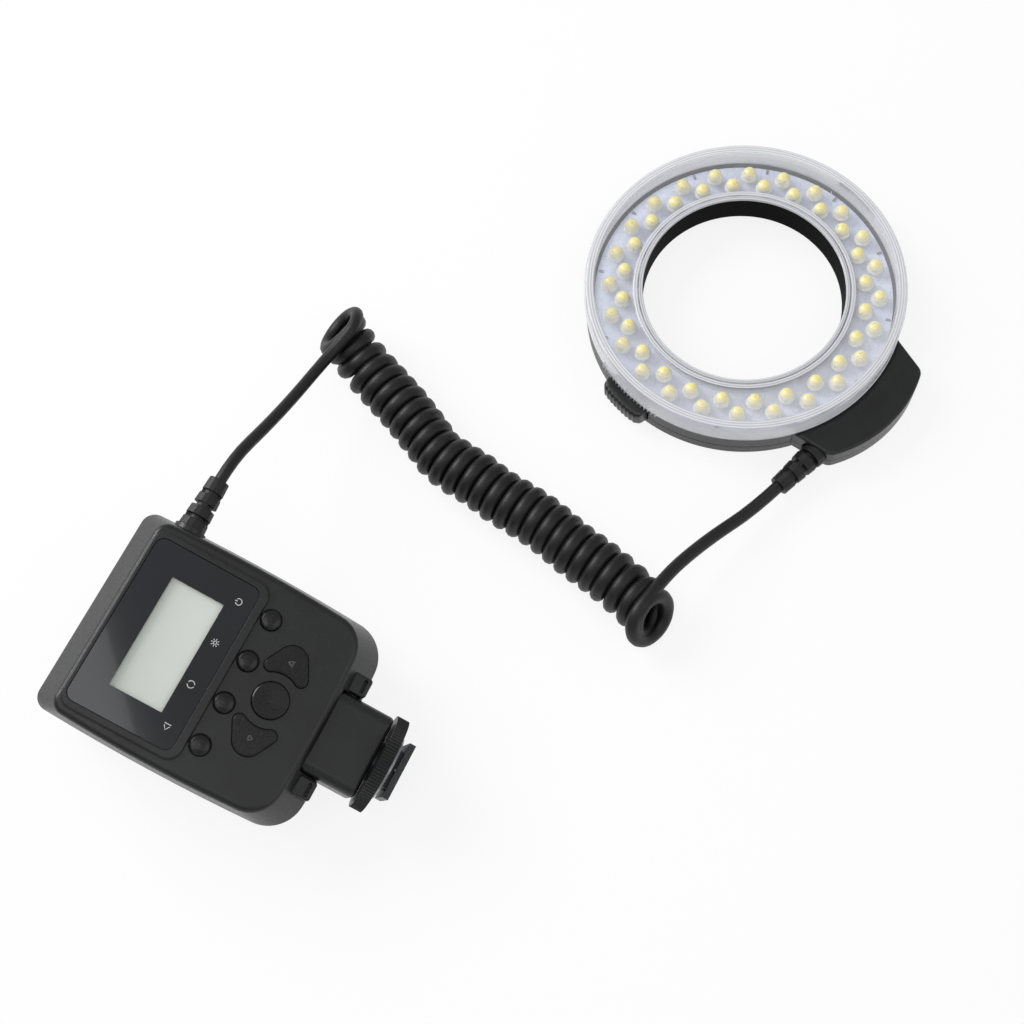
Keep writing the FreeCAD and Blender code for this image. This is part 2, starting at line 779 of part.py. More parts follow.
def front_block(inset, top_depth, bottom_depth):
    """The front half's solid form, drawn in on every side by the wall."""
    slope = inset * 1.15
    corners = (n.body_corner - inset, n.foot_corner - inset)
    low = outline(n.body_top_end + slope, n.body_foot_end - slope, n.body_half - inset, n.body_bow,
                  bottom_depth, corners)
    corners = (n.deck_corner - inset, n.foot_corner - 1.5 - inset)
    high = outline(n.deck_top_end + slope, n.deck_foot_end - slope, n.deck_half - inset, n.body_bow,
                   top_depth, corners, n.deck_shift)
    return Part.makeLoft([low, high], True, True)


def back_block(inset):
    """The rear half's solid form, drawn in by the wall and cut by the sloping back."""
    deep = n.back_depth + 8
    corners = (n.body_corner - inset, n.foot_corner - inset)
    low = outline(n.body_top_end + n.back_draft / 2 + inset, n.body_foot_end - n.back_draft - inset,
                  n.body_half - n.back_draft - inset, n.body_bow, deep, corners)
    high = outline(n.body_top_end + inset, n.body_foot_end - inset, n.body_half - inset, n.body_bow,
                   n.parting_depth + n.parting_gap, corners)
    solid = Part.makeLoft([low, high], True, True)
    floor = Part.makeBox(400, 400, 200, Vector(-200, -200, -200 + inset))
    floor.Placement = Placement(Vector(0, 0, -n.back_depth), Rotation(Vector(0, 1, 0), -n.back_slope)
                                ).multiply(floor.Placement)
    return solid.cut(floor)


def pill(x0, x1, y0, y1, corner, low, high):
    """An upright prism with rounded corners."""
    solid = Part.makeBox(x1 - x0, y1 - y0, high - low, Vector(x0, y0, low))
    upright = [edge for edge in solid.Edges if edge.BoundBox.ZLength > (high - low) * 0.9]
    return solid.makeFillet(corner, upright)


def arrow_prism(grow, low, high):
    """A bean-shaped prism on the +Y side of the set button: three rounds and the hull between them,
    hollowed by the circle round the set button that both corner rounds touch."""
    end_radius, radius = n.arrow_end + grow, n.arrow_corner + grow
    spread, place = n.arrow_corner_spread, n.arrow_corner_place
    height = high - low
    end = Part.makeCylinder(end_radius, height, Vector(0, n.arrow_end_place, low))
    feet = [Part.makeCylinder(radius, height, Vector(side * spread, place, low)) for side in (-1, 1)]
    drop = place - n.arrow_end_place
    lean = math.atan2(drop, spread) + math.acos((end_radius - radius) / math.hypot(spread, drop))
    outward = (math.cos(lean), math.sin(lean))
    inner = 1 - radius / math.hypot(spread, place)
    half = [(spread * inner, place * inner),
            (spread + radius * outward[0], place + radius * outward[1]),
            (end_radius * outward[0], n.arrow_end_place + end_radius * outward[1])]
    ring = half + [(-x, y) for x, y in reversed(half)]
    corners = [Vector(x, y, low) for x, y in ring + ring[:1]]
    middle = Part.Face(Part.makePolygon(corners)).extrude(Vector(0, 0, height))
    hollow = Part.makeCylinder(math.hypot(spread, place) - radius, height, Vector(0, 0, low))
    return middle.fuse([end] + feet).removeSplitter().cut(hollow)


def triangle(reach, low, high):
    """An upright prism on an even triangle that points to -X."""
    turns = [math.pi + 2 * math.pi * i / 3 for i in range(4)]
    corners = [Vector(reach * math.cos(turn), reach * math.sin(turn), low) for turn in turns]
    return Part.Face(Part.makePolygon(corners)).extrude(Vector(0, 0, high - low))


deck = -n.plateau_rise
set_place = Vector(n.set_place, n.deck_shift, 0)
button_places = [
    Vector(n.button_row, n.deck_shift + n.button_pitch * (1.5 - i), 0) for i in range(4)
]


def at(solid, point):
    """A solid moved to a point."""
    solid = solid.copy()
    solid.translate(point)
    return solid


def mirrored(solid):
    """The same solid on the other side of the set button."""
    return solid.mirror(Vector(0, 0, 0), Vector(0, 1, 0))


shift = n.deck_shift
front = front_block(0, n.plateau_rise, n.parting_depth)
top_rim = [
    edge for edge in front.Edges
    if abs(edge.BoundBox.ZMin - deck) < 1e-4 and abs(edge.BoundBox.ZMax - deck) < 1e-4
]
front = front.makeFillet(n.deck_round, top_rim)
plateau = pill(n.plateau_start, n.plateau_end, shift - n.plateau_half, shift + n.plateau_half,
               n.plateau_corner, -n.deck_thickness - 0.5, 0)
plateau_rim = [edge for edge in plateau.Edges if edge.BoundBox.ZMin > -1e-4]
plateau = plateau.makeFillet(n.plateau_round, plateau_rim)
front = front.fuse(plateau)
front_solid = front
cavity = front_block(n.shell_wall, n.deck_thickness, n.parting_depth + 0.01)
panel_seat = pill(n.panel_start, n.panel_end, shift - n.panel_half, shift + n.panel_half,
                  n.panel_corner, -n.window_depth, 1)
display_hole = Part.makeBox(
    n.display_end - n.display_start + 0.6, 2 * n.display_half + 0.6, 5,
    Vector(n.display_start - 0.3, shift - n.display_half - 0.3, -4))
holes = [Part.makeCylinder(n.button_radius + n.guide_gap, 8, place - Vector(0, 0, 6))
         for place in button_places]
holes.append(Part.makeCylinder(n.set_radius + n.guide_gap, 8, set_place - Vector(0, 0, 6)))
arrow_hole = arrow_prism(n.guide_gap, -6, 2)
holes += [at(arrow_hole, set_place), at(mirrored(arrow_hole), set_place)]
neck_gap = n.fit_gap
neck_window = Part.makeBox(
    20, 2 * (n.neck_half_width + neck_gap), 2 * (n.neck_half_height + neck_gap),
    Vector(n.body_foot_end - n.neck_room, shift - n.neck_half_width - neck_gap, -n.neck_depth - n.neck_half_height - neck_gap))
relief_hole = Part.makeCylinder(n.relief_tip / 2 - 0.6, 12, Vector(n.relief_place, n.body_half - 8, -n.relief_depth),
                                Vector(0, 1, 0))
circuit_bosses = [
    Part.makeCylinder(2.0, n.circuit_depth - n.deck_thickness + 0.5, Vector(x, shift + y, -n.circuit_depth))
    for x in (n.circuit_start + 2.6, n.circuit_end - 2.6) for y in (-n.circuit_half + 2.6, n.circuit_half - 2.6)
]
stub = Part.makeCylinder(n.relief_base / 2 + 0.7, 4.6, Vector(n.relief_place, n.relief_stand - 4.6, -n.relief_depth),
                         Vector(0, 1, 0))
front_stub = stub.common(Part.makeBox(60, 60, 40, Vector(-20, 0, -n.parting_depth)))
relief_room = Part.makeCylinder(n.relief_base / 2 + 0.7, 4.0, Vector(n.relief_place, n.relief_stand, -n.relief_depth),
                                Vector(0, 1, 0))
rear_stub = stub.common(Part.makeBox(60, 60, 40, Vector(-20, 0, -n.parting_depth - n.parting_gap - 40)))
front = front.cut(cavity).fuse(circuit_bosses).fuse(front_stub)
front = front.cut([panel_seat, display_hole, neck_window, relief_hole, relief_room] + holes)
node(shaped(front, "FrontShell"), "front_shell", controller)

# Controller: two end covers beside the neck, each with a slot
end_covers = []
for side in (-1, 1):
    middle = shift + side * n.end_cover_place
    cover_block = pill(n.end_cover_reach - n.end_cover_length, n.end_cover_reach, middle - n.end_cover_half, middle + n.end_cover_half, 1.2,
                       -n.parting_depth, -n.end_cover_top)
    top_edges = [edge for edge in cover_block.Edges if edge.BoundBox.ZMin > -n.end_cover_top - 1e-4]
    cover_block = cover_block.makeFillet(0.8, top_edges)
    slot_x = n.end_cover_reach - n.end_slot_inset
    slot = pill(slot_x, slot_x + n.end_slot_width, middle - n.end_slot_length / 2,
                middle + n.end_slot_length / 2, n.end_slot_width / 2 - 0.02, -n.end_cover_top - 2.5, 0)
    end_covers.append(cover_block.cut([front_solid, slot]))
node(shaped(Part.makeCompound(end_covers), "EndCovers"), "end_covers", controller)

# Controller: rear shell with its battery opening; the door's own frame leans with the wall
tray_width = 4 * n.cell_radius + 2 * n.tray_wall + 3 * n.cell_gap
tray_end = n.tray_start + tray_width
tray_bottom = n.tray_depth + tray_width
tray_back = -n.body_half + n.cell_length + 8.4
door_start = n.tray_start + 1.2
door_end = tray_end + 1.2
wall_lean = math.atan2(n.back_draft, n.back_depth + 8 - n.parting_depth - n.parting_gap)
wall_middle = -n.body_half - n.body_bow * 0.87 + (n.door_middle - n.parting_depth) * math.tan(wall_lean)
door_frame = Placement(Vector(0, wall_middle, -n.door_middle), Rotation(Vector(1, 0, 0), math.degrees(wall_lean)))


def door_box(x0, x1, y0, y1, half):
    """A box in the door's frame: along the wall, out of it (towards -Y) and up it."""
    box = Part.makeBox(x1 - x0, y1 - y0, 2 * half, Vector(x0, y0, -half))
    box.transformShape(door_frame.toMatrix())
    return box


def door_rod(radius, half, depth):
    """A rod along the door's hinge, its middle at the door's middle."""
    bar = Part.makeCylinder(radius, 2 * half, Vector(door_start, depth, -half))
    bar.transformShape(door_frame.toMatrix())
    return bar


hinge_depth = n.door_barrel + 0.25
back_solid = back_block(0)
rear = back_solid.cut(back_block(n.shell_wall))
door_hole = door_box(door_start - n.door_barrel - n.door_clearance, door_end + n.door_gap, -8, 3.2,
                     n.door_half + n.door_gap)
ears = door_box(door_start - n.door_barrel - 3.0, door_start + 2.4, 0.9, 4.2, n.door_half).cut(
    door_box(door_start - 9, door_start + 9, 0, 9, n.door_knuckle + n.door_gap))
pin_seat = door_rod(n.door_pin_radius, n.door_half - 0.6, hinge_depth)
screw_spots = [(x, y) for x in (1.8 + n.shell_screw_inset, 74.0 - n.shell_screw_inset) for y in (-20.5, 20.5)]
upright = Rotation(Vector(0, 1, 0), -n.back_slope)


def back_place(x, y, rise):
    """A placement on the sloping back, standing square to it."""
    slope = math.radians(n.back_slope)
    foot = Vector(x, y, -n.back_depth + x * math.tan(slope))
    return Placement(foot + upright.multVec(Vector(0, 0, rise)), upright)


def back_rod(radius, height, x, y, rise):
    """A rod that stands on the sloping back."""
    bar = Part.makeCylinder(radius, height)
    bar.transformShape(back_place(x, y, rise).toMatrix())
    return bar


posts = [back_rod(3.2, 5.2, x, y, n.shell_wall - 0.2) for x, y in screw_spots]
wells = [back_rod(2.3, 1.4, x, y, -0.1) for x, y in screw_spots]
wells += [back_rod(1.3, 6.0, x, y, 1.0) for x, y in screw_spots]
rear = rear.fuse(posts).fuse(rear_stub)
rear = rear.cut([door_hole, neck_window, relief_hole, relief_room] + wells)
rear = rear.fuse(ears).cut(pin_seat)
node(shaped(rear, "RearShell"), "rear_shell", controller)
screws = []
for x, y in screw_spots:
    place = controller.multiply(back_place(x, y, 0.3))
    screws.append(joined(rod(2.2, 1.0, place), rod(1.25, 5.4, place.multiply(along(0, 0, 0.9)))))
node(group(*screws), "shell_screws")

# Controller: display
node(shaped(pill(
    n.panel_start + n.fit_gap, n.panel_end - n.fit_gap, shift - n.panel_half + n.fit_gap,
    shift + n.panel_half - n.fit_gap, n.panel_corner - n.fit_gap,
    -n.window_depth, -n.window_depth + n.window_thickness), "Window"), "display_window", controller)
node(block(d.display_start, d.display_end, d.deck_shift - d.display_half, d.deck_shift + d.display_half,
           -d.window_depth - 1.5, -d.window_depth - 0.1, controller), "display_glass")
node(block(d.display_start - d.display_rim, d.display_end + d.display_rim,
           d.deck_shift - d.display_half - d.display_rim, d.deck_shift + d.display_half + d.display_rim,
           -d.circuit_depth, -d.deck_thickness - 0.1, controller), "display_backlight")

# Controller: buttons, each a cap with a flange that keeps it in
flange_top = -n.deck_thickness - 0.15
flange_low = flange_top - n.button_flange
button_names = ("power_button", "light_button", "mode_button", "test_button")
rise = d.button_rise - d.plateau_rise
for name, place in zip(button_names, button_places):
    turned([
        (0, flange_low),
        (d.button_radius + d.flange_reach, flange_low),
        (d.button_radius + d.flange_reach, flange_top),
        (d.button_radius, flange_top),
        (d.button_radius, rise - 0.9),
        (d.button_radius * 0.86, rise - 0.4),
        (d.button_radius * 0.5, rise - 0.06),
        (0, rise),
    ], name, controller.multiply(Placement(place, Rotation())))
set_rise = d.set_rise - d.plateau_rise
turned([
    (0, flange_low),
    (d.set_radius + d.flange_reach, flange_low),
    (d.set_radius + d.flange_reach, flange_top),
    (d.set_radius, flange_top),
    (d.set_radius, set_rise - 0.3),
    (d.set_radius - 0.4, set_rise),
    (0, set_rise - 0.15),
], "set_button", controller.multiply(Placement(set_place, Rotation())))
arrow_top = float(set_rise)
arrow_cap = arrow_prism(0, flange_low, arrow_top - 0.35)
arrow_cap = arrow_cap.fuse(arrow_prism(n.flange_reach * 0.6, flange_low, flange_top)).removeSplitter()
arrow_cap = arrow_cap.fuse(arrow_prism(-0.35, arrow_top - 0.4, arrow_top))
mark = triangle(n.mark_reach, arrow_top - n.mark_depth, 1).cut(
    triangle(n.mark_reach - 2 * n.mark_line, arrow_top - n.mark_depth, 1))
up_mark = at(mark, Vector(0, n.arrow_end_place - 0.6, 0))
down_mark = up_mark.copy()
down_mark.rotate(Vector(0, 0, 0), Vector(0, 0, 1), 180)
button_place = controller.multiply(Placement(set_place, Rotation()))
node(shaped(arrow_cap.cut(up_mark), "Arrow"), "up_button", button_place)
node(shaped(mirrored(arrow_cap).cut(down_mark), "Arrow"), "down_button", button_place)

# Controller: silicone mat and circuit board under the buttons
node(block(d.mat_start, d.circuit_end - 6.0, d.deck_shift - d.mat_half, d.deck_shift + d.mat_half,
           -d.mat_depth - d.mat_thickness, -d.mat_depth, controller), "button_mat")
node(block(d.circuit_start, d.circuit_end, d.deck_shift - d.circuit_half, d.deck_shift + d.circuit_half,
           -d.circuit_depth - d.board_thickness, -d.circuit_depth - 0.0, controller), "main_board")

# Controller: battery tray, cells, contacts and door
tray_front = -n.body_half
tray_outer = Part.makeBox(tray_width, tray_back - tray_front, tray_width,
                          Vector(n.tray_start, tray_front, -tray_bottom))
tray_hollow = Part.makeBox(tray_width - 2 * n.tray_wall, tray_back - tray_front, tray_width - 2 * n.tray_wall,
                           Vector(n.tray_start + n.tray_wall, tray_front - n.tray_wall, -tray_bottom + n.tray_wall))
tray_mouth = door_box(-10, 60, -20, n.door_thickness + n.contact_thickness + 1.0, 40)
tray_notch = door_box(door_start - n.door_barrel - 3.4, door_start + n.door_barrel + 1.2, -20,
                      hinge_depth + n.door_barrel + 1.2, 40)
node(shaped(tray_outer.cut([tray_hollow, tray_mouth, tray_notch]), "Tray"), "battery_tray", controller)
cell_step = 2 * n.cell_radius + n.cell_gap
cell_first = n.tray_wall + n.cell_gap + n.cell_radius
cell_front = tray_back - n.tray_wall - n.contact_thickness - 1.4 - n.cell_length
cells, tabs, coils = [], [], []
for column in range(2):
    for layer in range(2):
        x = n.tray_start + cell_first + cell_step * column
        z = -n.tray_depth - cell_first - cell_step * layer
        standing = Rotation(Vector(1, 0, 0), -90)
        case_place = controller.multiply(Placement(Vector(x, cell_front, z), standing))
        knob_place = controller.multiply(Placement(Vector(x, cell_front + n.cell_length - 1.3, z), standing))
        cells.append(joined(rod(d.cell_radius, d.cell_length - 1.2, case_place), rod(2.7, 1.3, knob_place)))
        tab_back = tray_back - n.tray_wall
        tabs.append(block(x - 4.5, x + 4.5, tab_back - n.contact_thickness, tab_back, z - 4.5, z + 4.5,
                          controller))
        coils.append(block(x - 1.5, x + 1.5, cell_front + n.cell_length + 0.1, tab_back - n.contact_thickness,
                           z - 1.5, z + 1.5, controller))
node(group(*cells), "battery_cells")
node(group(*[joined(tab, coil) for tab, coil in zip(tabs, coils)]), "battery_contacts")
door = door_box(door_start, door_end, -8, n.door_thickness, n.door_half).common(back_solid)
barrel = door_rod(n.door_barrel, n.door_knuckle, hinge_depth)
pin_hole = door_rod(n.door_pin_radius + n.running_gap, n.door_half + 2, hinge_depth)
ear_room = door_box(door_start - 4, door_start + 3.2, -9, 9, n.door_half + 1).cut(
    door_box(door_start - 5, door_start + 5, -9, 9, n.door_knuckle))
node(shaped(door.fuse(barrel).cut([pin_hole, ear_room]), "Door"), "battery_door", controller)
node(shaped(door_rod(n.door_pin_radius, n.door_half - 0.6, hinge_depth), "Pin"), "door_pin", controller)
node(shaped(door_box(door_start + 5.5, door_end - 3.0, n.door_thickness,
                     n.door_thickness + n.contact_thickness, n.door_half - 3), "Plate"),
     "door_contact", controller)

# Controller: neck, lock wheel, clamp plate and shoe foot, all on one axis along X
axis = controller.multiply(Placement(Vector(0, shift, -n.neck_depth), Rotation()))
lying = Rotation(Vector(0, 1, 0), 90)


def on_axis(x):
    """A round piece's placement on the foot's axis, standing along it."""
    return axis.multiply(Placement(Vector(float(x), 0, 0), lying))


neck_start = n.body_foot_end - n.neck_root
neck = Part.makeBox(n.neck_end - neck_start, 2 * n.neck_half_width, 2 * n.neck_half_height,
                    Vector(neck_start, -n.neck_half_width, -n.neck_half_height))
neck_edges = [edge for edge in neck.Edges if edge.BoundBox.XLength > 5]
neck = neck.makeFillet(n.neck_corner, neck_edges)
end_rim = [edge for edge in neck.Edges if edge.BoundBox.XMin > n.neck_end - 1e-4]
neck = neck.makeFillet(1.4, end_rim)
flange = Part.makeBox(n.neck_flange, 2 * n.neck_half_width + 5, 2 * n.neck_half_height - 1.2,
                      Vector(neck_start, -n.neck_half_width - 2.5, -n.neck_half_height + 0.4))
bore = Part.makeCylinder(n.stem_radius + 0.1, 40, Vector(n.stem_start - 0.2, 0, 0), Vector(1, 0, 0))
node(shaped(neck.fuse(flange).cut(bore), "Neck"), "foot_neck", axis)

wheel_points = []
for i in range(n.wheel_teeth):
    for part, radius in ((0.0, n.wheel_radius), (0.5, n.wheel_radius - n.wheel_tooth)):
        a = 2 * math.pi * (i + part) / n.wheel_teeth
        wheel_points.append(Vector(n.wheel_start, radius * math.cos(a), radius * math.sin(a)))
wheel = Part.Face(Part.makePolygon(wheel_points + wheel_points[:1])).extrude(Vector(n.wheel_thickness, 0, 0))
wheel_bore = Part.makeCylinder(n.stem_radius + n.running_gap, 20, Vector(n.wheel_start - 5, 0, 0),
                               Vector(1, 0, 0))
node(shaped(wheel.cut(wheel_bore), "Wheel"), "lock_wheel", axis)

clamp_start = d.wheel_start + d.wheel_thickness + d.clamp_gap
half_web = d.foot_web / 2
web_hole = half_web + d.running_gap
node(less(rod(d.clamp_radius, d.clamp_thickness, on_axis(clamp_start)),
          block(clamp_start - 1, clamp_start + d.clamp_thickness + 1, -web_hole, web_hole,
                -web_hole, web_hole, axis)),
     "clamp_plate")

foot_top = d.foot_end - d.foot_thickness
web_start = d.wheel_start + d.wheel_thickness + 0.05
stem = rod(d.stem_radius, web_start - d.stem_start + 0.1, on_axis(d.stem_start))
web = block(web_start, foot_top + 0.1, -half_web, half_web, -half_web, half_web, axis)
plate_half = d.foot_width / 2
length_half = d.foot_length / 2
shoe = block(foot_top, d.foot_end, -plate_half, plate_half, -length_half, length_half, axis)
pin_bore = rod(d.lock_pin_radius + d.running_gap, d.foot_thickness + 8,
               axis.multiply(Placement(Vector(float(foot_top) - 0.6, 0, n.lock_pin_place), lying)))
node(less(joined(stem, web, shoe), pin_bore), "shoe_foot")
contact_spots = [(0.0, 0.0), (4.4, -4.4), (-4.4, -4.4), (4.4, 0.4), (-4.4, 0.4)]
node(group(*[
    rod(d.contact_radius, 0.5, axis.multiply(Placement(Vector(n.foot_end, y, z), lying)))
    for y, z in contact_spots
]), "contact_pins")
node(rod(d.lock_pin_radius, d.foot_thickness + 0.3,
         axis.multiply(Placement(Vector(float(foot_top) - 0.3, 0, n.lock_pin_place), lying))), "lock_pin")

controller_relief_place = controller.multiply(Placement(
    Vector(n.relief_place, n.relief_stand, -n.relief_depth), Rotation(Vector(1, 0, 0), -90)))
relief("controller_relief", controller_relief_place)

# Cord: one round section all along, leads of straight runs and arcs, and turns along a curved axis
def tube(edges, label):
    """A many-sided cord along a chain of edges, its ends square."""
    spine = Part.Wire(edges)
    start = edges[0].valueAt(edges[0].FirstParameter)
    heading = edges[0].tangentAt(edges[0].FirstParameter)
    across = heading.cross(Vector(0, 0, 1)).normalize()
    over = across.cross(heading)
    angles = [2 * math.pi * i / n.cord_sides for i in range(n.cord_sides)]
    rim = [start + (across * math.cos(a) + over * math.sin(a)) * (n.cord_diameter / 2) for a in angles]
    section = Part.makePolygon(rim + rim[:1])
    solid = spine.makePipeShell([section], True, False)
    expected = spine.Length * Part.Face(section).Area
    print(f"{label}: length {spine.Length:.1f} mm, volume {abs(solid.Volume) / expected:.4f} of section by length")
    return node(shaped(solid, "Cord"), label)


def arc_between(start, corner, end):
    """The arc that leaves a start towards a corner and arrives at an end from it."""
    middle = (start + end) / 2
    to_corner = corner - middle
    side = (start - corner).Length
    half_chord = (end - start).Length / 2
    if to_corner.Length < 1e-4:
        return Part.makeLine(start, end)
    radius = side * half_chord / to_corner.Length
    rise = radius - math.sqrt(max(radius * radius - half_chord * half_chord, 0.0))
    return Part.Arc(start, middle + to_corner.normalize() * rise, end).toShape()


def lead(points, label):
    """A lead through its route's points: straight runs joined by arcs, the radii printed."""
    edges, radii = [], []
    place = points[0]
    for before, corner, after in zip(points, points[1:], points[2:]):
        inward, outward = corner - before, after - corner
        shorter = min(inward.Length, outward.Length)
        half_turn = inward.getAngle(outward) / 2
        radii.append(0.45 * shorter / math.tan(half_turn))
        start = corner - inward.normalize() * (0.45 * shorter)
        end = corner + outward.normalize() * (0.45 * shorter)
        edges += [Part.makeLine(place, start), arc_between(start, corner, end)]
        place = end
    edges.append(Part.makeLine(place, points[-1]))
    print(f"{label}: radii " + ", ".join(f"{radius:.1f}" for radius in radii))
    return tube(edges, label)


coil_radius = (n.coil_diameter - n.cord_diameter) / 2
axis_points = [
    Vector(-141.2, -9.2, 14.7), Vector(-136.8, -15.5, 12.2), Vector(-131.6, -22.6, 10.6),
    Vector(-126.0, -30.0, 10.0), Vector(-120.0, -37.9, 9.9), Vector(-112.6, -47.3, 9.9),
    Vector(-105.6, -55.4, 9.9), Vector(-97.0, -63.9, 9.9), Vector(-85.1, -74.2, 9.9),
    Vector(-71.6, -85.2, 9.9), Vector(-58.4, -96.3, 9.9), Vector(-48.2, -105.4, 9.8),
    Vector(-41.2, -112.4, 9.6), Vector(-35.4, -118.9, 9.2),
]
axis_curve = Part.BSplineCurve()
axis_curve.interpolate(axis_points)
axis_edge = axis_curve.toShape()
turns = n.coil_turns + (n.coil_start_turn - n.coil_end_turn) / 360.0


def coil_point(turn):
    """The middle of the cord after a number of turns from the controller's end."""
    share = min(max(turn / turns, 0.0), 1.0)
    way = axis_edge.Length * share * (1 + n.coil_pitch_change * (1 - share))
    spot = axis_edge.getParameterByLength(way)
    middle, heading = axis_edge.valueAt(spot), axis_edge.tangentAt(spot)
    side = Vector(0, 0, 1).cross(heading).normalize()
    lean = math.radians(n.coil_end_lean) * max(0.0, (turn - turns + 8) / 8)
    lean -= math.radians(n.coil_start_lean) * max(0.0, (5 - turn) / 5)
    up = heading.cross(side) * math.cos(lean) - heading * math.sin(lean)
    angle = math.radians(n.coil_start_turn - 360.0 * turn)
    return middle + side * (coil_radius * math.cos(angle)) + up * (coil_radius * math.sin(angle))


def coil_heading(turn):
    """The cord's direction after a number of turns."""
    step = 0.002
    early, late = max(turn - step, 0.0), min(turn + step, turns)
    return (coil_point(late) - coil_point(early)).normalize()


quarters = 4 * n.coil_turns
stops = [turns * i / quarters for i in range(quarters + 1)]
coil_edges = []
first, last = coil_point(0), coil_point(turns)
coil_start = first - coil_heading(0) * n.cord_straight
coil_end = last + coil_heading(turns) * n.cord_straight
coil_edges.append(Part.makeLine(coil_start, first))
for low, high in zip(stops, stops[1:]):
    start, end = coil_point(low), coil_point(high)
    leave, arrive = coil_heading(low), coil_heading(high)
    chord = end - start
    both = leave + arrive
    a = 2 * (leave.dot(arrive) - 1)
    b = -2 * chord.dot(both)
    c = chord.dot(chord)
    arm = (-b - math.sqrt(b * b - 4 * a * c)) / (2 * a)
    first_corner, second_corner = start + leave * arm, end - arrive * arm
    joint = (first_corner + second_corner) / 2
    coil_edges += [arc_between(start, first_corner, joint), arc_between(joint, second_corner, end)]
coil_edges.append(Part.makeLine(last, coil_end))
samples = [coil_point(turns * i / (24 * n.coil_turns)) for i in range(24 * n.coil_turns + 1)]
least = min(
    (samples[i] - samples[j]).Length
    for i in range(len(samples)) for j in range(i + 14, min(i + 60, len(samples)))
)
lowest = min(point.z for point in samples) - n.cord_diameter / 2
print(f"curly cord: least gap to itself {least - n.cord_diameter:.2f} mm, lowest point {lowest:.2f} mm")
tube(coil_edges, "curly_cord")

ring_tip = ring_relief_place.multVec(Vector(0, 0, n.relief_length))
ring_heading = ring_relief_place.Rotation.multVec(Vector(0, 0, 1))
lead([
    ring_tip,
    ring_tip + ring_heading * 12.4,
    Vector(-13.5, -94.5, 12.0),
    coil_end + coil_heading(turns) * 12,
    coil_end,
], "cord_lead_ring")
body_tip = controller_relief_place.multVec(Vector(0, 0, n.relief_length))
body_heading = controller_relief_place.Rotation.multVec(Vector(0, 0, 1))
lead([
    body_tip,
    body_tip + body_heading * 9,
    Vector(-161.1, -57.0, 36.5),
    Vector(-156.5, -42.0, 29.0),
    coil_start - coil_heading(0) * 14,
    coil_start,
], "cord_lead_controller")

doc.recompute()
faults = []
for thing in doc.Objects:
    if "Invalid" in thing.State or "Error" in thing.State:
        faults.append(f"{thing.Label}: {thing.State}")
for thing in nodes:
    if thing.Shape.isNull() or not thing.Shape.isValid():
        faults.append(f"{thing.Label}: shape not valid")
if faults:
    raise RuntimeError("; ".join(faults))
os.makedirs("parts", exist_ok=True)
for thing in nodes:
    thing.Shape.exportStep(f"parts/{thing.Label}.step")
print(len(nodes), "nodes written")
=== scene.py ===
"""Looks of the LED ring light: ring head with its lamps, curly cord and the controller with its shoe foot.
The frame is metres, Z up, origin at the middle of the ring's bore on the surface that it lies on."""
import json
import math

import bpy
import numpy as np
from mathutils import Matrix


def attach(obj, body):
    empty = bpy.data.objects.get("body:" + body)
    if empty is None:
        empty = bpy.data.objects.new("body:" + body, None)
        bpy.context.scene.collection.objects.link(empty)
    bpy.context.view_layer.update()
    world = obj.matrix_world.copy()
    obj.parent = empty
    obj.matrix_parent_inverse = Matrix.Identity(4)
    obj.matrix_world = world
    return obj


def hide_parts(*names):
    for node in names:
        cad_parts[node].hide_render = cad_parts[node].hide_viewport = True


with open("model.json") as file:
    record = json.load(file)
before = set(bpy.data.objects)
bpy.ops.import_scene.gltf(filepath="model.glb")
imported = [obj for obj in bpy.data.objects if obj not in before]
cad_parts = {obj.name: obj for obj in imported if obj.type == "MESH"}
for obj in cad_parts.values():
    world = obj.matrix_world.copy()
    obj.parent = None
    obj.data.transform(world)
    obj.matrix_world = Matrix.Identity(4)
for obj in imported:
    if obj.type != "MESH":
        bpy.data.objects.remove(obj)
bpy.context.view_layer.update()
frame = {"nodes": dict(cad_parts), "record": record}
MM = 0.001

# Controller: where its own frame stands, X along its face to the foot, Y across, Z out of the face
BODY_DEPTH = 62.0
FACE_LEAN = math.radians(18.0)
CONTROLLER_PLACE = np.array([-202.6, -122.3, BODY_DEPTH * math.cos(FACE_LEAN)]) * MM
CONTROLLER_TURN = (0.0, FACE_LEAN, math.radians(-26.92))


def controller_axes():
    """The controller's axes as columns: a turn about Y, then one about Z."""
    _, lean, heading = CONTROLLER_TURN
    about_z = np.array([[math.cos(heading), -math.sin(heading), 0],
                        [math.sin(heading), math.cos(heading), 0], [0, 0, 1]])
    about_y = np.array([[math.cos(lean), 0, math.sin(lean)], [0, 1, 0],
                        [-math.sin(lean), 0, math.cos(lean)]])
    return about_z @ about_y


def on_controller(points_mm):
    """Points in the controller's own millimetres as points of the frame, in metres."""
    return CONTROLLER_PLACE + np.asarray(points_mm, float) * MM @ controller_axes().T


def unit(vectors):
    """Vectors brought to length one."""
    return vectors / np.linalg.norm(vectors, axis=-1, keepdims=True)


def stand(name, data):
    """An object in the scene that shows a camera, a light, a curve or a mesh."""
    thing = bpy.data.objects.new(name, data)
    bpy.context.scene.collection.objects.link(thing)
    return thing


def turn_to(thing, right, up, back, place):
    """Stand a camera or a light at a place, turned so that its X, Y and Z are the three ways."""
    thing.matrix_world = Matrix([*zip(right, up, back, place), (0, 0, 0, 1)])


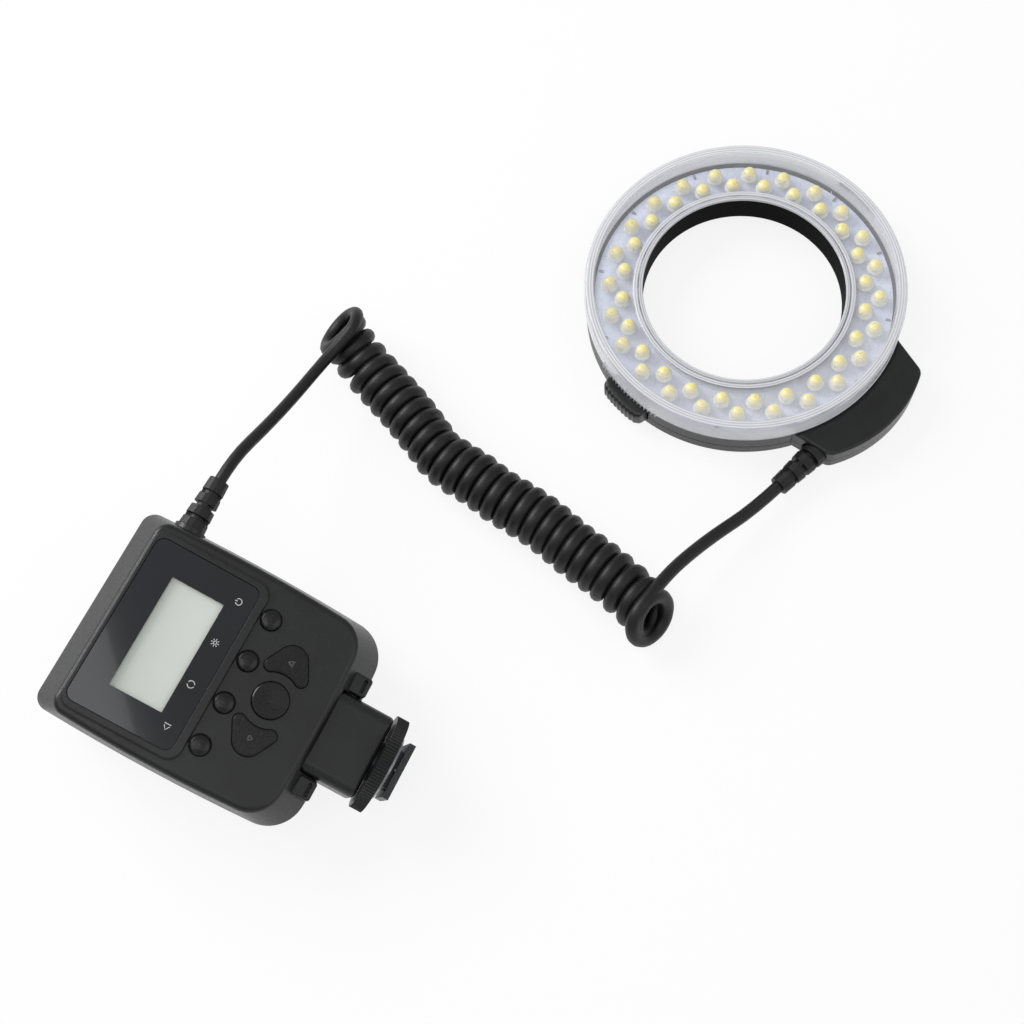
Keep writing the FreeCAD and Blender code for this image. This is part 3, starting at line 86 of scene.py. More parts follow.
# Camera: the photograph's view, from above the front
SENSOR_WIDTH_MM = 36.0
LENS_MM = 54.0
NEAREST_SEEN = 0.01
CAMERA_PLACE = (-0.04891, -0.25474, 0.49384)
CAMERA_RIGHT = np.array([0.99782, 0.0, -0.06601])
CAMERA_DOWN = np.array([-0.02255, -0.93984, -0.34088])
CAMERA_AHEAD = np.array([-0.06204, 0.34162, -0.93779])


def make_camera():
    """The camera, with the axes and the place that were solved from the rings and the shoe foot."""
    camera = bpy.data.cameras.new("camera")
    camera.sensor_width = SENSOR_WIDTH_MM
    camera.lens = LENS_MM
    camera.clip_start = NEAREST_SEEN
    holder = stand("camera", camera)
    turn_to(holder, CAMERA_RIGHT, -CAMERA_DOWN, -CAMERA_AHEAD, CAMERA_PLACE)
    bpy.context.scene.camera = holder


make_camera()


# Colours and nodes
def linear(code):
    """A hex sRGB colour as linear red, green, blue and one."""
    parts = [int(code[i:i + 2], 16) / 255 for i in (1, 3, 5)]
    return tuple(p / 12.92 if p <= 0.04045 else ((p + 0.055) / 1.055) ** 2.4 for p in parts) + (1.0,)


def add(tree, kind, settings=None, values=None, links=None):
    """Add a node: its properties, its plain socket values and the sockets that feed it."""
    made = tree.nodes.new(kind)
    for key, value in (settings or {}).items():
        setattr(made, key, value)
    for key, value in (values or {}).items():
        made.inputs[key].default_value = value
    for key, source in (links or {}).items():
        tree.links.new(source, made.inputs[key])
    return made


def new_material(name):
    """An empty material, its node tree and the shaded point in the object's own metres."""
    made = bpy.data.materials.new(name)
    made.use_nodes = True
    tree = made.node_tree
    tree.nodes.clear()
    return made, tree, add(tree, "ShaderNodeTexCoord").outputs["Object"]


def finish_material(made, shader):
    """Link a shader to a material's output and give the material back."""
    add(made.node_tree, "ShaderNodeOutputMaterial", links={"Surface": shader})
    return made


def principled(tree, values=None, links=None):
    """A principled shader."""
    return add(tree, "ShaderNodeBsdfPrincipled", values=values, links=links).outputs["BSDF"]


def ramp(tree, source, stops):
    """A colour ramp through stops of place and hex colour."""
    made = add(tree, "ShaderNodeValToRGB", links={"Fac": source})
    marks = made.color_ramp.elements
    marks[0].position, marks[0].color = stops[0][0], linear(stops[0][1])
    marks[1].position, marks[1].color = stops[-1][0], linear(stops[-1][1])
    for place, code in stops[1:-1]:
        marks.new(place).color = linear(code)
    return made.outputs["Color"]


def noise(tree, where, scale, detail=2.0, **more):
    """Soft noise with so many cells to the metre."""
    values = {"Scale": scale, "Detail": detail, **more}
    return add(tree, "ShaderNodeTexNoise", values=values, links={"Vector": where}).outputs["Fac"]


def calculate(tree, operation, *terms):
    """One step of arithmetic in a shader. Each term is a number or a socket."""
    numbers = {at: term for at, term in enumerate(terms) if isinstance(term, float)}
    sockets = {at: term for at, term in enumerate(terms) if at not in numbers}
    return add(tree, "ShaderNodeMath", {"operation": operation}, numbers, sockets).outputs["Value"]


def map_range(tree, source, low, high, from_low=0.0, from_high=1.0):
    """A value carried from one range to another, held at its ends."""
    values = {"From Min": from_low, "From Max": from_high, "To Min": low, "To Max": high}
    return add(tree, "ShaderNodeMapRange", values=values, links={"Value": source}).outputs["Result"]


def raised(tree, height, strength, depth_mm, **more):
    """The normal of a surface that a height raises by so many millimetres."""
    values = {"Strength": strength, "Distance": depth_mm * MM}
    return add(tree, "ShaderNodeBump", values=values, links={"Height": height, **more}).outputs["Normal"]


# Finishes
ROUGHNESS_SPREAD = 0.08
ACRYLIC_IOR, EPOXY_IOR, POLYCARBONATE_IOR = 1.49, 1.54, 1.58


def moulded(name, dark, light, roughness, grain_mm, depth_mm, edge_mm=0.35, level=0.5):
    """Moulded plastic: two near colours in soft clouds, a spark-eroded grain and edges eased by the bevel."""
    made, tree, where = new_material(name)
    clouds = noise(tree, where, 45.0, 3.0)
    grain = noise(tree, where, 500.0 / grain_mm, Roughness=0.6)
    colour = ramp(tree, clouds, [(0.35, dark), (0.65, light)])
    rough = map_range(tree, grain, roughness - ROUGHNESS_SPREAD, roughness + ROUGHNESS_SPREAD, 0.3, 0.7)
    eased_edge = add(tree, "ShaderNodeBevel", {"samples": 4}, {"Radius": edge_mm * MM})
    normal = raised(tree, grain, 0.6, depth_mm, Normal=eased_edge.outputs["Normal"])
    return finish_material(made, principled(tree, {"IOR": 1.5, "Specular IOR Level": level},
                                            {"Base Color": colour, "Roughness": rough, "Normal": normal}))


def metal(name, dark, light, roughness, line_mm):
    """Metal with fine lines along one way: stamped steel, drawn brass, milled aluminium."""
    made, tree, where = new_material(name)
    drawn = add(tree, "ShaderNodeMapping", values={"Scale": (1.0, 0.08, 1.0)}, links={"Vector": where})
    lines = noise(tree, drawn.outputs["Vector"], 500.0 / line_mm)
    colour = ramp(tree, lines, [(0.3, dark), (0.7, light)])
    rough = map_range(tree, lines, roughness - ROUGHNESS_SPREAD, roughness + ROUGHNESS_SPREAD)
    normal = raised(tree, lines, 0.3, 0.02)
    return finish_material(made, principled(tree, {"Metallic": 1.0},
                                            {"Base Color": colour, "Roughness": rough, "Normal": normal}))


def clear_polycarbonate():
    """Injection-moulded polycarbonate: faces seen edge on turn pale and mirror the room, and what lies under
    it keeps most of its light."""
    made, tree, where = new_material("clear_polycarbonate")
    haze = noise(tree, where, 60.0, 3.0)
    edge = add(tree, "ShaderNodeLayerWeight", values={"Blend": 0.42})
    body = map_range(tree, edge.outputs["Facing"], 0.09, 0.66, 0.05, 0.9)
    veil = calculate(tree, "MULTIPLY_ADD", haze, 0.06, body)
    rays = add(tree, "ShaderNodeLightPath")
    passing = calculate(tree, "MULTIPLY_ADD", rays.outputs["Is Shadow Ray"], -0.8, 1.0)
    seen = calculate(tree, "MULTIPLY", veil, passing)
    return finish_material(made, principled(
        tree, {"Base Color": linear("#EAEBEF"), "Roughness": 0.12, "IOR": POLYCARBONATE_IOR,
               "Coat Weight": 0.5, "Coat Roughness": 0.05}, {"Alpha": seen}))


def turned_polycarbonate():
    """The same polycarbonate where its face is turned in rings, 0.9 mm apart: pale and only partly clear."""
    made, tree, where = new_material("turned_polycarbonate")
    flat = add(tree, "ShaderNodeVectorMath", {"operation": "MULTIPLY"}, {1: (1.0, 1.0, 0.0)}, {0: where})
    radius = add(tree, "ShaderNodeVectorMath", {"operation": "LENGTH"}, links={0: flat.outputs["Vector"]})
    rings = calculate(tree, "MULTIPLY", radius.outputs["Value"], 2 * math.pi / (0.9 * MM))
    level = map_range(tree, calculate(tree, "SINE", rings), 0.0, 1.0, -1.0, 1.0)
    colour = ramp(tree, level, [(0.25, "#D8D9DD"), (0.75, "#E9EAEE")])
    clear = map_range(tree, level, 0.52, 0.76)
    normal = raised(tree, level, 0.4, 0.04)
    return finish_material(made, principled(
        tree, {"Roughness": 0.16, "IOR": POLYCARBONATE_IOR, "Coat Weight": 0.4},
        {"Base Color": colour, "Alpha": clear, "Normal": normal}))


def solder_mask(name, ground, light, copper):
    """Circuit board: a smooth mask over faint tracks, each about 0.3 mm wide."""
    made, tree, where = new_material(name)
    tracks = add(tree, "ShaderNodeTexVoronoi", {"feature": "DISTANCE_TO_EDGE"},
                 {"Scale": 330.0, "Randomness": 0.7}, {"Vector": where})
    base = ramp(tree, noise(tree, where, 70.0, 3.0), [(0.3, ground), (0.7, light)])
    line = calculate(tree, "LESS_THAN", tracks.outputs["Distance"], 0.045)
    colour = add(tree, "ShaderNodeMix", {"data_type": "RGBA"}, {"B": linear(copper)},
                 {"Factor": line, "A": base})
    normal = raised(tree, line, 0.25, 0.03)
    return finish_material(made, principled(tree, {"Roughness": 0.38, "IOR": 1.5},
                                            {"Base Color": colour.outputs["Result"], "Normal": normal}))


def controller_coordinates(tree, where):
    """A shaded point's places along and across the controller's face, in metres."""
    turned_back = add(tree, "ShaderNodeMapping", {"vector_type": "TEXTURE"},
                      {"Location": tuple(CONTROLLER_PLACE), "Rotation": CONTROLLER_TURN}, {"Vector": where})
    split = add(tree, "ShaderNodeSeparateXYZ", links={"Vector": turned_back.outputs["Vector"]})
    return split.outputs["X"], split.outputs["Y"]


# Clear part of the display window on the controller's face, in millimetres along and across it
WINDOW_ALONG = (15.1, 32.9)
WINDOW_ACROSS = (-19.65, 17.65)


def back_printed_acrylic():
    """Acrylic printed black from behind, left clear over the display."""
    made, tree, where = new_material("back_printed_acrylic")
    along, across = controller_coordinates(tree, where)
    tests = [calculate(tree, kind, source, limit * MM)
             for source, limits in ((along, WINDOW_ALONG), (across, WINDOW_ACROSS))
             for kind, limit in zip(("GREATER_THAN", "LESS_THAN"), limits)]
    inside = tests[0]
    for test in tests[1:]:
        inside = calculate(tree, "MULTIPLY", inside, test)
    waves = noise(tree, where, 25.0, 1.0)
    ink = ramp(tree, waves, [(0.3, "#101116"), (0.7, "#16181F")])
    printed = principled(tree, {"Roughness": 0.09, "IOR": ACRYLIC_IOR, "Coat Weight": 0.4},
                         {"Base Color": ink, "Normal": raised(tree, waves, 0.05, 0.2)})
    window = principled(tree, {"Base Color": linear("#E8ECE8"), "Roughness": 0.05, "IOR": ACRYLIC_IOR,
                               "Alpha": 0.07})
    both = add(tree, "ShaderNodeMixShader", links={"Fac": inside, 1: printed, 2: window})
    return finish_material(made, both.outputs["Shader"])


def display_film():
    """Reflective display film, pale grey-green, with painted shade: its colour runs darker towards the side
    away from the light.
    """
    made, tree, where = new_material("display_film")
    along, across = controller_coordinates(tree, where)
    # Painted shade: the colour darkens across the film towards its side away from the light
    shade = calculate(tree, "MULTIPLY_ADD", across, 0.35, along)
    colour = ramp(tree, map_range(tree, shade, 0.0, 1.0, 0.008, 0.034),
                  [(0.0, "#B9C2BA"), (0.3, "#CDD4CC"), (1.0, "#D9DED8")])
    normal = raised(tree, noise(tree, where, 1500.0), 0.1, 0.01)
    return finish_material(made, principled(tree, {"Roughness": 0.45},
                                            {"Base Color": colour, "Normal": normal}))


def lamp_resin():
    """Water-clear epoxy over a yellow core: the core shows through the crown, the rim stays white, and a few
    darker specks are the chip and its wire."""
    made, tree, where = new_material("lamp_resin")
    height = add(tree, "ShaderNodeUVMap", {"uv_map": "profile"})
    split = add(tree, "ShaderNodeSeparateXYZ", links={"Vector": height.outputs["UV"]})
    specks = noise(tree, where, 1400.0, 1.0)
    core = ramp(tree, split.outputs["Y"],
                [(0.0, "#EDECE6"), (0.40, "#FAF8EA"), (0.70, "#F9F2C6"), (1.0, "#F4E596")])
    dark = map_range(tree, specks, 0.75, 0.0, 0.27, 0.33)
    colour = add(tree, "ShaderNodeMix", {"data_type": "RGBA"}, {"B": linear("#8F8763")},
                 {"Factor": dark, "A": core})
    return finish_material(made, principled(tree, {"Roughness": 0.12, "IOR": EPOXY_IOR, "Coat Weight": 0.6},
                                            {"Base Color": colour.outputs["Result"]}))


def printed_mark(name, dark, light):
    """Screen-printed ink, a little uneven."""
    made, tree, where = new_material(name)
    colour = ramp(tree, noise(tree, where, 2500.0), [(0.3, dark), (0.7, light)])
    return finish_material(made, principled(tree, {"Roughness": 0.5}, {"Base Color": colour}))


# By the record's slots, and two more. Moulded: name, two colours, roughness, then millimetres: the grain's
# size and depth and how far an edge is eased. Metal: name, two colours, roughness, width of its lines.
FINISHES = {
    "black": moulded("moulded_abs", "#121213", "#191A1B", 0.36, 0.35, 0.03, level=0.45),
    # Painted shade: the bore's wall gets a darker, matt black than the housing
    "bore": moulded("bore_painted_shade_black", "#050506", "#08080A", 0.85, 0.2, 0.01, level=0.12),
    "clear": clear_polycarbonate(),
    "clear_rings": turned_polycarbonate(),
    "panel": back_printed_acrylic(),
    "board": solder_mask("pale_solder_mask", "#D8DFF8", "#E6EBFC", "#D0D9F2"),
    "green_board": solder_mask("green_solder_mask", "#0E4A26", "#125B30", "#2C7A4A"),
    "lamp": lamp_resin(),
    "chip": moulded("chip_ceramic", "#6F7389", "#888CA2", 0.5, 0.2, 0.02, 0.1),
    "rubber": moulded("soft_vinyl", "#0D0D0E", "#131314", 0.46, 0.3, 0.02, 0.3, level=0.4),
    "button": moulded("button_abs", "#0B0B0C", "#111112", 0.27, 0.3, 0.01, 0.3, level=0.4),
    "steel": metal("zinc_plated_steel", "#8E9094", "#A8AAAE", 0.32, 0.2),
    "brass": metal("plated_brass", "#C9A45A", "#DDBD78", 0.25, 0.2),
    "aluminium": metal("anodised_aluminium", "#3A3B3D", "#4A4B4E", 0.42, 0.25),
    "display": display_film(),
    "backlight": moulded("white_frame_abs", "#CDD2C9", "#D8DCD4", 0.5, 0.3, 0.02),
    "cell": moulded("cell_wrap", "#33373E", "#3E434B", 0.3, 0.4, 0.01),
    "mat": moulded("silicone_mat", "#484849", "#505052", 0.6, 0.3, 0.02),
}
PALE_INK = printed_mark("pale_screen_print", "#B4B5B8", "#D0D1D3")
GREY_INK = printed_mark("grey_groove_fill", "#55565A", "#66676B")

# The bore's wall is darker and duller than the housing: its darker black is painted shade for the recess of
# the ring's bore
NODE_FINISHES = {"bore_sleeve": "bore"}


def dress_frame():
    """Give each CAD node the finish of its slot, or its own where it has one."""
    for row in frame["record"]["subparts"]:
        thing = frame["nodes"][row["node"]]
        thing.data.materials.clear()
        thing.data.materials.append(FINISHES[NODE_FINISHES.get(row["node"], row["material_slot"])])


dress_frame()


# Meshes
def put(name, points, faces, finish, body="base", smooth=True, uv=None):
    """A mesh object from arrays of points and faces, riding on a body."""
    mesh = bpy.data.meshes.new(name)
    mesh.from_pydata(points.tolist(), [], [tuple(face) for face in faces])
    if uv is not None:
        layer = mesh.uv_layers.new(name="profile")
        corners = np.empty(len(mesh.loops), np.int32)
        mesh.loops.foreach_get("vertex_index", corners)
        layer.data.foreach_set("uv", uv[corners].astype(np.float32).ravel())
    mesh.materials.append(finish)
    mesh.polygons.foreach_set("use_smooth", np.full(len(mesh.polygons), smooth))
    thing = stand(name, mesh)
    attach(thing, body)
    return thing


def turned(radius, height, sides):
    """Points of a profile turned once round Z: a full circle for each pair of radius and height."""
    turn = np.radians(np.arange(sides) * 360 / sides)
    return np.stack([np.outer(radius, np.cos(turn)), np.outer(radius, np.sin(turn)),
                     np.repeat(height[:, None], sides, 1)], axis=-1).reshape(-1, 3)


def grid_faces(rows, columns, closed=False):
    """Four-cornered faces between the points of a grid whose rows are loops, closed on itself if so told."""
    row, column = np.meshgrid(np.arange(rows if closed else rows - 1), np.arange(columns), indexing="ij")
    row, column = row.ravel(), column.ravel()
    after, beside = (row + 1) % rows * columns, (column + 1) % columns
    row = row * columns
    return np.stack([row + column, row + beside, after + beside, after + column], axis=1)


# Cord: the axis of its turns is a spline of its own, and the turns are points of the cord's one spline.
# Lengths are millimetres, but for the length of the whole cord in metres. A spline of the second degree
# through points on a circle runs inside them, and SPLINE_SWELL makes up for that.
CORD_DIAMETER = 4.0
COIL_TURNS = 29 + 20.0 / 360.0
POINTS_A_TURN = 12
SPLINE_SWELL = 4 / (3 + math.cos(2 * math.pi / POINTS_A_TURN))
AXIS_STEPS = 12
CORD_STEPS = 4
AXIS_ROUTE = [
    (-141.2, -9.2, 14.7), (-136.8, -15.5, 12.2), (-131.6, -22.6, 10.6), (-126.0, -30.0, 10.0),
    (-120.0, -37.9, 9.9), (-112.6, -47.3, 9.9), (-105.6, -55.4, 9.9), (-97.0, -63.9, 9.9),
    (-85.1, -74.2, 9.9), (-71.6, -85.2, 9.9), (-58.4, -96.3, 9.9), (-48.2, -105.4, 9.9),
    (-41.2, -112.4, 9.9), (-35.4, -118.9, 9.8),
]
CONTROLLER_LEAD = [
    (-172.1, -78.2, 44.0), (-168.0, -70.2, 44.0), (-160.9, -56.4, 35.0), (-154.0, -42.5, 27.0),
    (-144.6, -25.4, 21.0),
]
RING_LEAD = [
    (-33.2, -107.4, 16.6), (-26.6, -99.4, 13.8), (-14.6, -88.8, 10.2), (-0.45, -78.4, 6.2),
    (8.69, -70.02, 6.2),
]
CONTROLLER_LEAD_THICKNESS = 4.0
RING_LEAD_THICKNESS = 4.3

# Where the turns sit beside the axis, how far they reach from it and how thick the tube is, each by turn
# and in millimetres: the coil lies loose here and tight there
SWAY = [(0, -0.8), (3, -0.8), (4, -0.5), (5, -0.1), (6, 0.15), (7, 0.4), (8, 0.3), (9, 0.0), (10, -0.4),
        (11, -1.45), (12, -0.9), (13, -0.1), (14, 0.8), (16, 0.95), (17, 1.6), (18, 2.1), (19, 2.5),
        (20, 2.45), (22, 1.9), (24, 2.45), (26, 2.6), (30, 2.6)]
REACH = [(0, 6.9), (10, 6.95), (11, 6.75), (12, 7.05), (13, 7.1), (15, 7.0), (18, 7.1), (30, 7.1)]
THICKNESS = [(0, 4.3), (1, 5.4), (28, 5.4), (29, 4.8), (30, 4.5)]

# The share by which the pitch shrinks along the coil, the turns over which its ends lean, how far those
# sink, and the angle by which each turn stands askew
PITCH_SHRINK = 0.04
LEANING_TURNS = 3.5
LEAN_DROP = 0.7
YAW = math.radians(11.0)

# The two end turns flare out. Each is a circle with its own two directions, and it takes over between the
# two counts of turns from that end.
END_LOOPS = {
    "controller": {"centre": (-140.07, -11.97, 15.5), "radius": 8.0, "along": (0.6167, 0.7519, 0.2331),
                   "over": (0.3859, -0.5469, 0.7430), "takes_over": (0.55, 1.35)},
    "ring": {"centre": (-36.05, -116.41, 10.4), "radius": 7.9, "along": (0.5167, 0.8149, 0.2627),
             "over": (-0.4988, 0.0372, 0.8659), "takes_over": (0.75, 1.5)},
}


def nurbs_curve(name, points_mm, steps):
    """A curve with one open spline whose control points are the given ones."""
    curve = bpy.data.curves.new(name, "CURVE")
    curve.dimensions = "3D"
    spline = curve.splines.new("NURBS")
    points = np.asarray(points_mm, float) * MM
    spline.points.add(len(points) - 1)
    spline.points.foreach_set("co", np.hstack([points, np.ones((len(points), 1))]).ravel())
    spline.order_u = 3
    spline.use_endpoint_u = True
    spline.resolution_u = steps
    return curve


def read_line(curve):
    """The points of a curve without a bevel, in millimetres, as Blender gives them."""
    holder = stand("route", curve)
    bpy.context.view_layer.update()
    mesh = bpy.data.meshes.new_from_object(holder)
    line = np.empty(len(mesh.vertices) * 3)
    mesh.vertices.foreach_get("co", line)
    bpy.data.objects.remove(holder)
    bpy.data.meshes.remove(mesh)
    return line.reshape(-1, 3) / MM


def by_turn(table, turn):
    """Values read from a table of turns and values, in a column."""
    turns, values = np.transpose(table)
    return np.interp(turn, turns, values)[:, None]


def eased(share):
    """A share brought between none and one, flat at both ends: three squares less two cubes."""
    share = np.clip(share, 0, 1)[:, None]
    return share * share * (3 - 2 * share)


def coil_turns(turn):
    """The turns of the curly cord: a circle about the axis, turned a little out of the plane across it and
    carried along with a pitch that shrinks slowly towards the ring. The turns near both ends lean more and
    more, their tops staying where they are, and each end turn passes smoothly into a circle of its own."""
    line = read_line(nurbs_curve("coil_axis", AXIS_ROUTE, AXIS_STEPS))
    ways = np.concatenate([[0], np.cumsum(np.linalg.norm(np.diff(line, axis=0), axis=1))])
    share = turn / COIL_TURNS
    way = ways[-1] * share * (1 + PITCH_SHRINK * (1 - share))
    middle = np.stack([np.interp(way, ways, line[:, k]) for k in range(3)], axis=1)
    slopes = np.gradient(line, ways, axis=0)
    heading = unit(np.stack([np.interp(way, ways, slopes[:, k]) for k in range(3)], axis=1))
    side = unit(np.cross([0.0, 0.0, 1.0], heading))
    up = np.cross(heading, side)
    middle = middle + side * by_turn(SWAY, turn)
    side = side * math.cos(YAW) - heading * math.sin(YAW)
    angle = (2 * math.pi * turn)[:, None]
    reach = by_turn(REACH, turn)
    turns_from = {"controller": turn, "ring": COIL_TURNS - turn}
    for end, away in turns_from.items():
        over = np.array(END_LOOPS[end]["over"])
        lean = 1 - eased((away - 1) / LEANING_TURNS)
        leant = up * (up @ over)[:, None] + heading * (heading @ over)[:, None]
        leaning = unit(up * (1 - lean) + leant * lean)
        middle = middle + reach * (up - leaning) - np.array([0, 0, LEAN_DROP]) * lean
        up = leaning
    points = middle + reach * SPLINE_SWELL * (side * np.sin(angle) + up * np.cos(angle))
    for end, away in turns_from.items():
        loop = END_LOOPS[end]
        circle = np.array(loop["along"]) * np.sin(angle) + np.array(loop["over"]) * np.cos(angle)
        first, last = loop["takes_over"]
        blend = eased((away - first) / (last - first))
        end_turn = np.array(loop["centre"]) + loop["radius"] * SPLINE_SWELL * circle
        points = points * blend + end_turn * (1 - blend)
    return points


def make_cord():
    """The whole cord: the controller's lead, the turns and the ring's lead on one spline."""
    turn = np.linspace(0, COIL_TURNS, int(round(COIL_TURNS * POINTS_A_TURN)) + 1)
    route = np.vstack([CONTROLLER_LEAD, coil_turns(turn), RING_LEAD])
    curve = nurbs_curve("curly_cord_line", route, CORD_STEPS)
    thickness = np.concatenate([np.full(len(CONTROLLER_LEAD), CONTROLLER_LEAD_THICKNESS),
                                by_turn(THICKNESS, turn).ravel(),
                                np.full(len(RING_LEAD), RING_LEAD_THICKNESS)])
    curve.splines[0].points.foreach_set("radius", thickness / CORD_DIAMETER)
    curve.bevel_depth = CORD_DIAMETER / 2 * MM
    curve.bevel_resolution = 4
    curve.use_fill_caps = True
    curve.materials.append(FINISHES["rubber"])
    cord = stand("cord", curve)
    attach(cord, "base")
    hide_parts("curly_cord", "cord_lead_ring", "cord_lead_controller")


make_cord()


# Lamps: 5 mm domed lamps on the board, two rows of them. A row has its radius and its first lamp's angle,
# and a lamp's foot is a flange and a straight side, as pairs of radius and height.
LAMP_ROWS = {"outer_lamps": (46.65, 9.6), "inner_lamps": (42.05, 2.2)}
LAMPS_IN_ROW = 24
BOARD_TOP = 12.8
LAMP_RADIUS = 2.5
LAMP_FOOT = [(2.9, 0.0), (2.9, 0.55), (LAMP_RADIUS, 0.7), (LAMP_RADIUS, 1.7)]
CROWN_ANGLES = np.radians(np.linspace(0, 88, 8))[1:]
LAMP_SIDES = 20


def make_lamps(node):
    """A row of lamps. The profile is a flange, a straight side and a half-round crown: radius and height are
    functions of one parameter, turned through a full circle by the other."""
    row_radius, first = LAMP_ROWS[node]
    foot_radius, foot_height = np.transpose(LAMP_FOOT)
    radius = np.concatenate([foot_radius, LAMP_RADIUS * np.cos(CROWN_ANGLES)])
    height = np.concatenate([foot_height, foot_height[-1] + LAMP_RADIUS * np.sin(CROWN_ANGLES)])
    shape = np.vstack([turned(radius, height, LAMP_SIDES), [[0, 0, height[-1]]]])
    top = len(shape) - 1
    last = top - LAMP_SIDES
    caps = [(last + a, last + (a + 1) % LAMP_SIDES, top) for a in range(LAMP_SIDES)]
    profile = np.concatenate([np.repeat(height / height[-1], LAMP_SIDES), [1.0]])
    places = np.radians(first + 360.0 / LAMPS_IN_ROW * np.arange(LAMPS_IN_ROW))
    centres = np.stack([row_radius * np.cos(places), row_radius * np.sin(places),
                        np.full(LAMPS_IN_ROW, BOARD_TOP)], axis=1)
    points = (centres[:, None] + shape[None]).reshape(-1, 3) * MM
    one_lamp = [*grid_faces(len(radius), LAMP_SIDES), *caps]
    faces = [tuple(np.array(face) + lamp * len(shape)) for lamp in range(LAMPS_IN_ROW) for face in one_lamp]
    uv = np.tile(np.stack([np.zeros(len(shape)), profile], axis=1), (LAMPS_IN_ROW, 1))
    piece = put(node.replace("lamps", "lamp_domes"), points, faces, FINISHES["lamp"], uv=uv)
    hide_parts(node)


for lamp_row in LAMP_ROWS:
    make_lamps(lamp_row)


# Release clips: a pad with rounded ends and upright ribs, pressed towards the ring's axis. By side the angle
# at which it stands; then the radii of its foot and of the housing's wall, how far it reaches beyond that,
# half its width, its middle height and half its thickness, and its ribs.
CLIP_ANGLES = {"left": 221.5, "right": 41.5}
CLIP_FOOT = 53.6
HOUSING_RADIUS = 54.8
CLIP_REACH = 4.6
CLIP_HALF = 9.0
CLIP_MIDDLE, CLIP_RISE = 6.5, 3.7
RIB_PITCH, RIB_HEIGHT = 1.8, 0.32
ACROSS_POWER, UPRIGHT_POWER = 6, 5


def make_clip(side):
    """A clip's pad. Across the pad the reach follows a superellipse of power six, with ribs 1.8 mm apart as
    a cosine on top, and over its height one of power five; both together give the bulging outer face."""
    across = CLIP_HALF * np.sin(np.radians(np.linspace(-90, 90, 181)))
    inward = np.clip(1 - np.abs(across / CLIP_HALF) ** ACROSS_POWER, 0, 1) ** (1 / ACROSS_POWER)
    ribs = RIB_HEIGHT / 2 * (1 + np.cos(math.tau * across / RIB_PITCH)) * inward
    slope = np.radians(np.linspace(-90, 90, 19))
    level = CLIP_MIDDLE + CLIP_RISE * np.sign(np.sin(slope)) * np.abs(np.sin(slope)) ** (2 / UPRIGHT_POWER)
    bulge = np.abs(np.cos(slope)) ** (2 / UPRIGHT_POWER)
    ribbed_band = np.clip(bulge * 3 - 2, 0, 1)
    reach = HOUSING_RADIUS + np.outer(inward * CLIP_REACH, bulge) + np.outer(ribs, ribbed_band)
    outer = np.sqrt(reach ** 2 - (across ** 2)[:, None])
    foot = np.full((len(across), 1), CLIP_FOOT)
    out = np.hstack([foot, outer, foot])
    rows, columns = out.shape
    wide = np.repeat(across[:, None], columns, 1)
    height = np.repeat(np.concatenate([[level[0]], level, [level[-1]]])[None], rows, 0)
    turn = math.radians(CLIP_ANGLES[side])
    points = np.stack([out * math.cos(turn) - wide * math.sin(turn),
                       out * math.sin(turn) + wide * math.cos(turn), height], axis=-1).reshape(-1, 3) * MM
    last = (rows - 1) * columns
    ends = [range(columns), range(last + columns - 1, last - 1, -1)]
    walls = grid_faces(rows, columns)[:, [0, 3, 2, 1]]
    pad = put("clip_grip_" + side, points, [*walls, *ends], FINISHES["black"], body=side + "_clip")
    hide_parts("clip_pad_" + side)


for clip_side in CLIP_ANGLES:
    make_clip(clip_side)


# The cover's turned faces: the lip round the bore, which laps over the sleeve's edge, and the outer rim.
# Each is a closed profile of radius and height.
COVER_RINGS = {
    "cover_lip": [(34.95, 15.5), (36.3, 15.5), (36.3, 16.35), (36.1, 16.5), (35.2, 16.5), (34.95, 16.3)],
    "cover_lip_step": [(36.8, 16.22), (38.2, 16.22), (38.2, 16.35), (38.0, 16.42), (37.0, 16.42),
                       (36.8, 16.35)],
    "cover_rim": [(51.9, 20.02), (54.6, 20.02), (54.6, 20.06), (54.4, 20.14), (52.1, 20.14), (51.9, 20.06)],
    "cover_step": [(52.7, 11.9), (55.26, 11.9), (55.32, 12.0), (55.32, 12.3), (55.26, 12.4), (52.7, 12.4)],
}
RING_SIDES = 180


def make_ring(name):
    """A closed profile of radius and height turned once round the bore's axis."""
    radius, height = np.transpose(COVER_RINGS[name])
    points = turned(radius, height, RING_SIDES) * MM
    put(name, points, grid_faces(len(radius), RING_SIDES, closed=True), FINISHES["clear_rings"], body="cover",
        smooth=False)


for ring_name in COVER_RINGS:
    make_ring(ring_name)


# Signs: printed on the display panel beside each round button, and the filled grooves of the arrow keys.
# Each has its place on the controller, the level that it lies on, its stroke, ink, body and slot.
PANEL_TOP = -0.2
GROOVE_FLOOR = -0.55
SIGN_THICKNESS = 0.03
SIGNS = {
    "power": (36.3, 20.6, PANEL_TOP, 0.26, PALE_INK, "base", "panel"),
    "light": (36.3, 6.2, PANEL_TOP, 0.26, PALE_INK, "base", "panel"),
    "mode": (36.3, -8.2, PANEL_TOP, 0.26, PALE_INK, "base", "panel"),
    "test": (36.3, -22.6, PANEL_TOP, 0.26, PALE_INK, "base", "panel"),
    "up": (59.6, 11.9, GROOVE_FLOOR, 0.36, GREY_INK, "up_key", "button"),
    "down": (59.6, -13.9, GROOVE_FLOOR, 0.36, GREY_INK, "down_key", "button"),
}


def arc(radius, start, stop, count=18):
    """Points of an arc about the origin, by angle in degrees from the sign's own up."""
    angle = np.radians(np.linspace(start, stop, count))
    return np.stack([radius * np.sin(angle), radius * np.cos(angle)], axis=1)


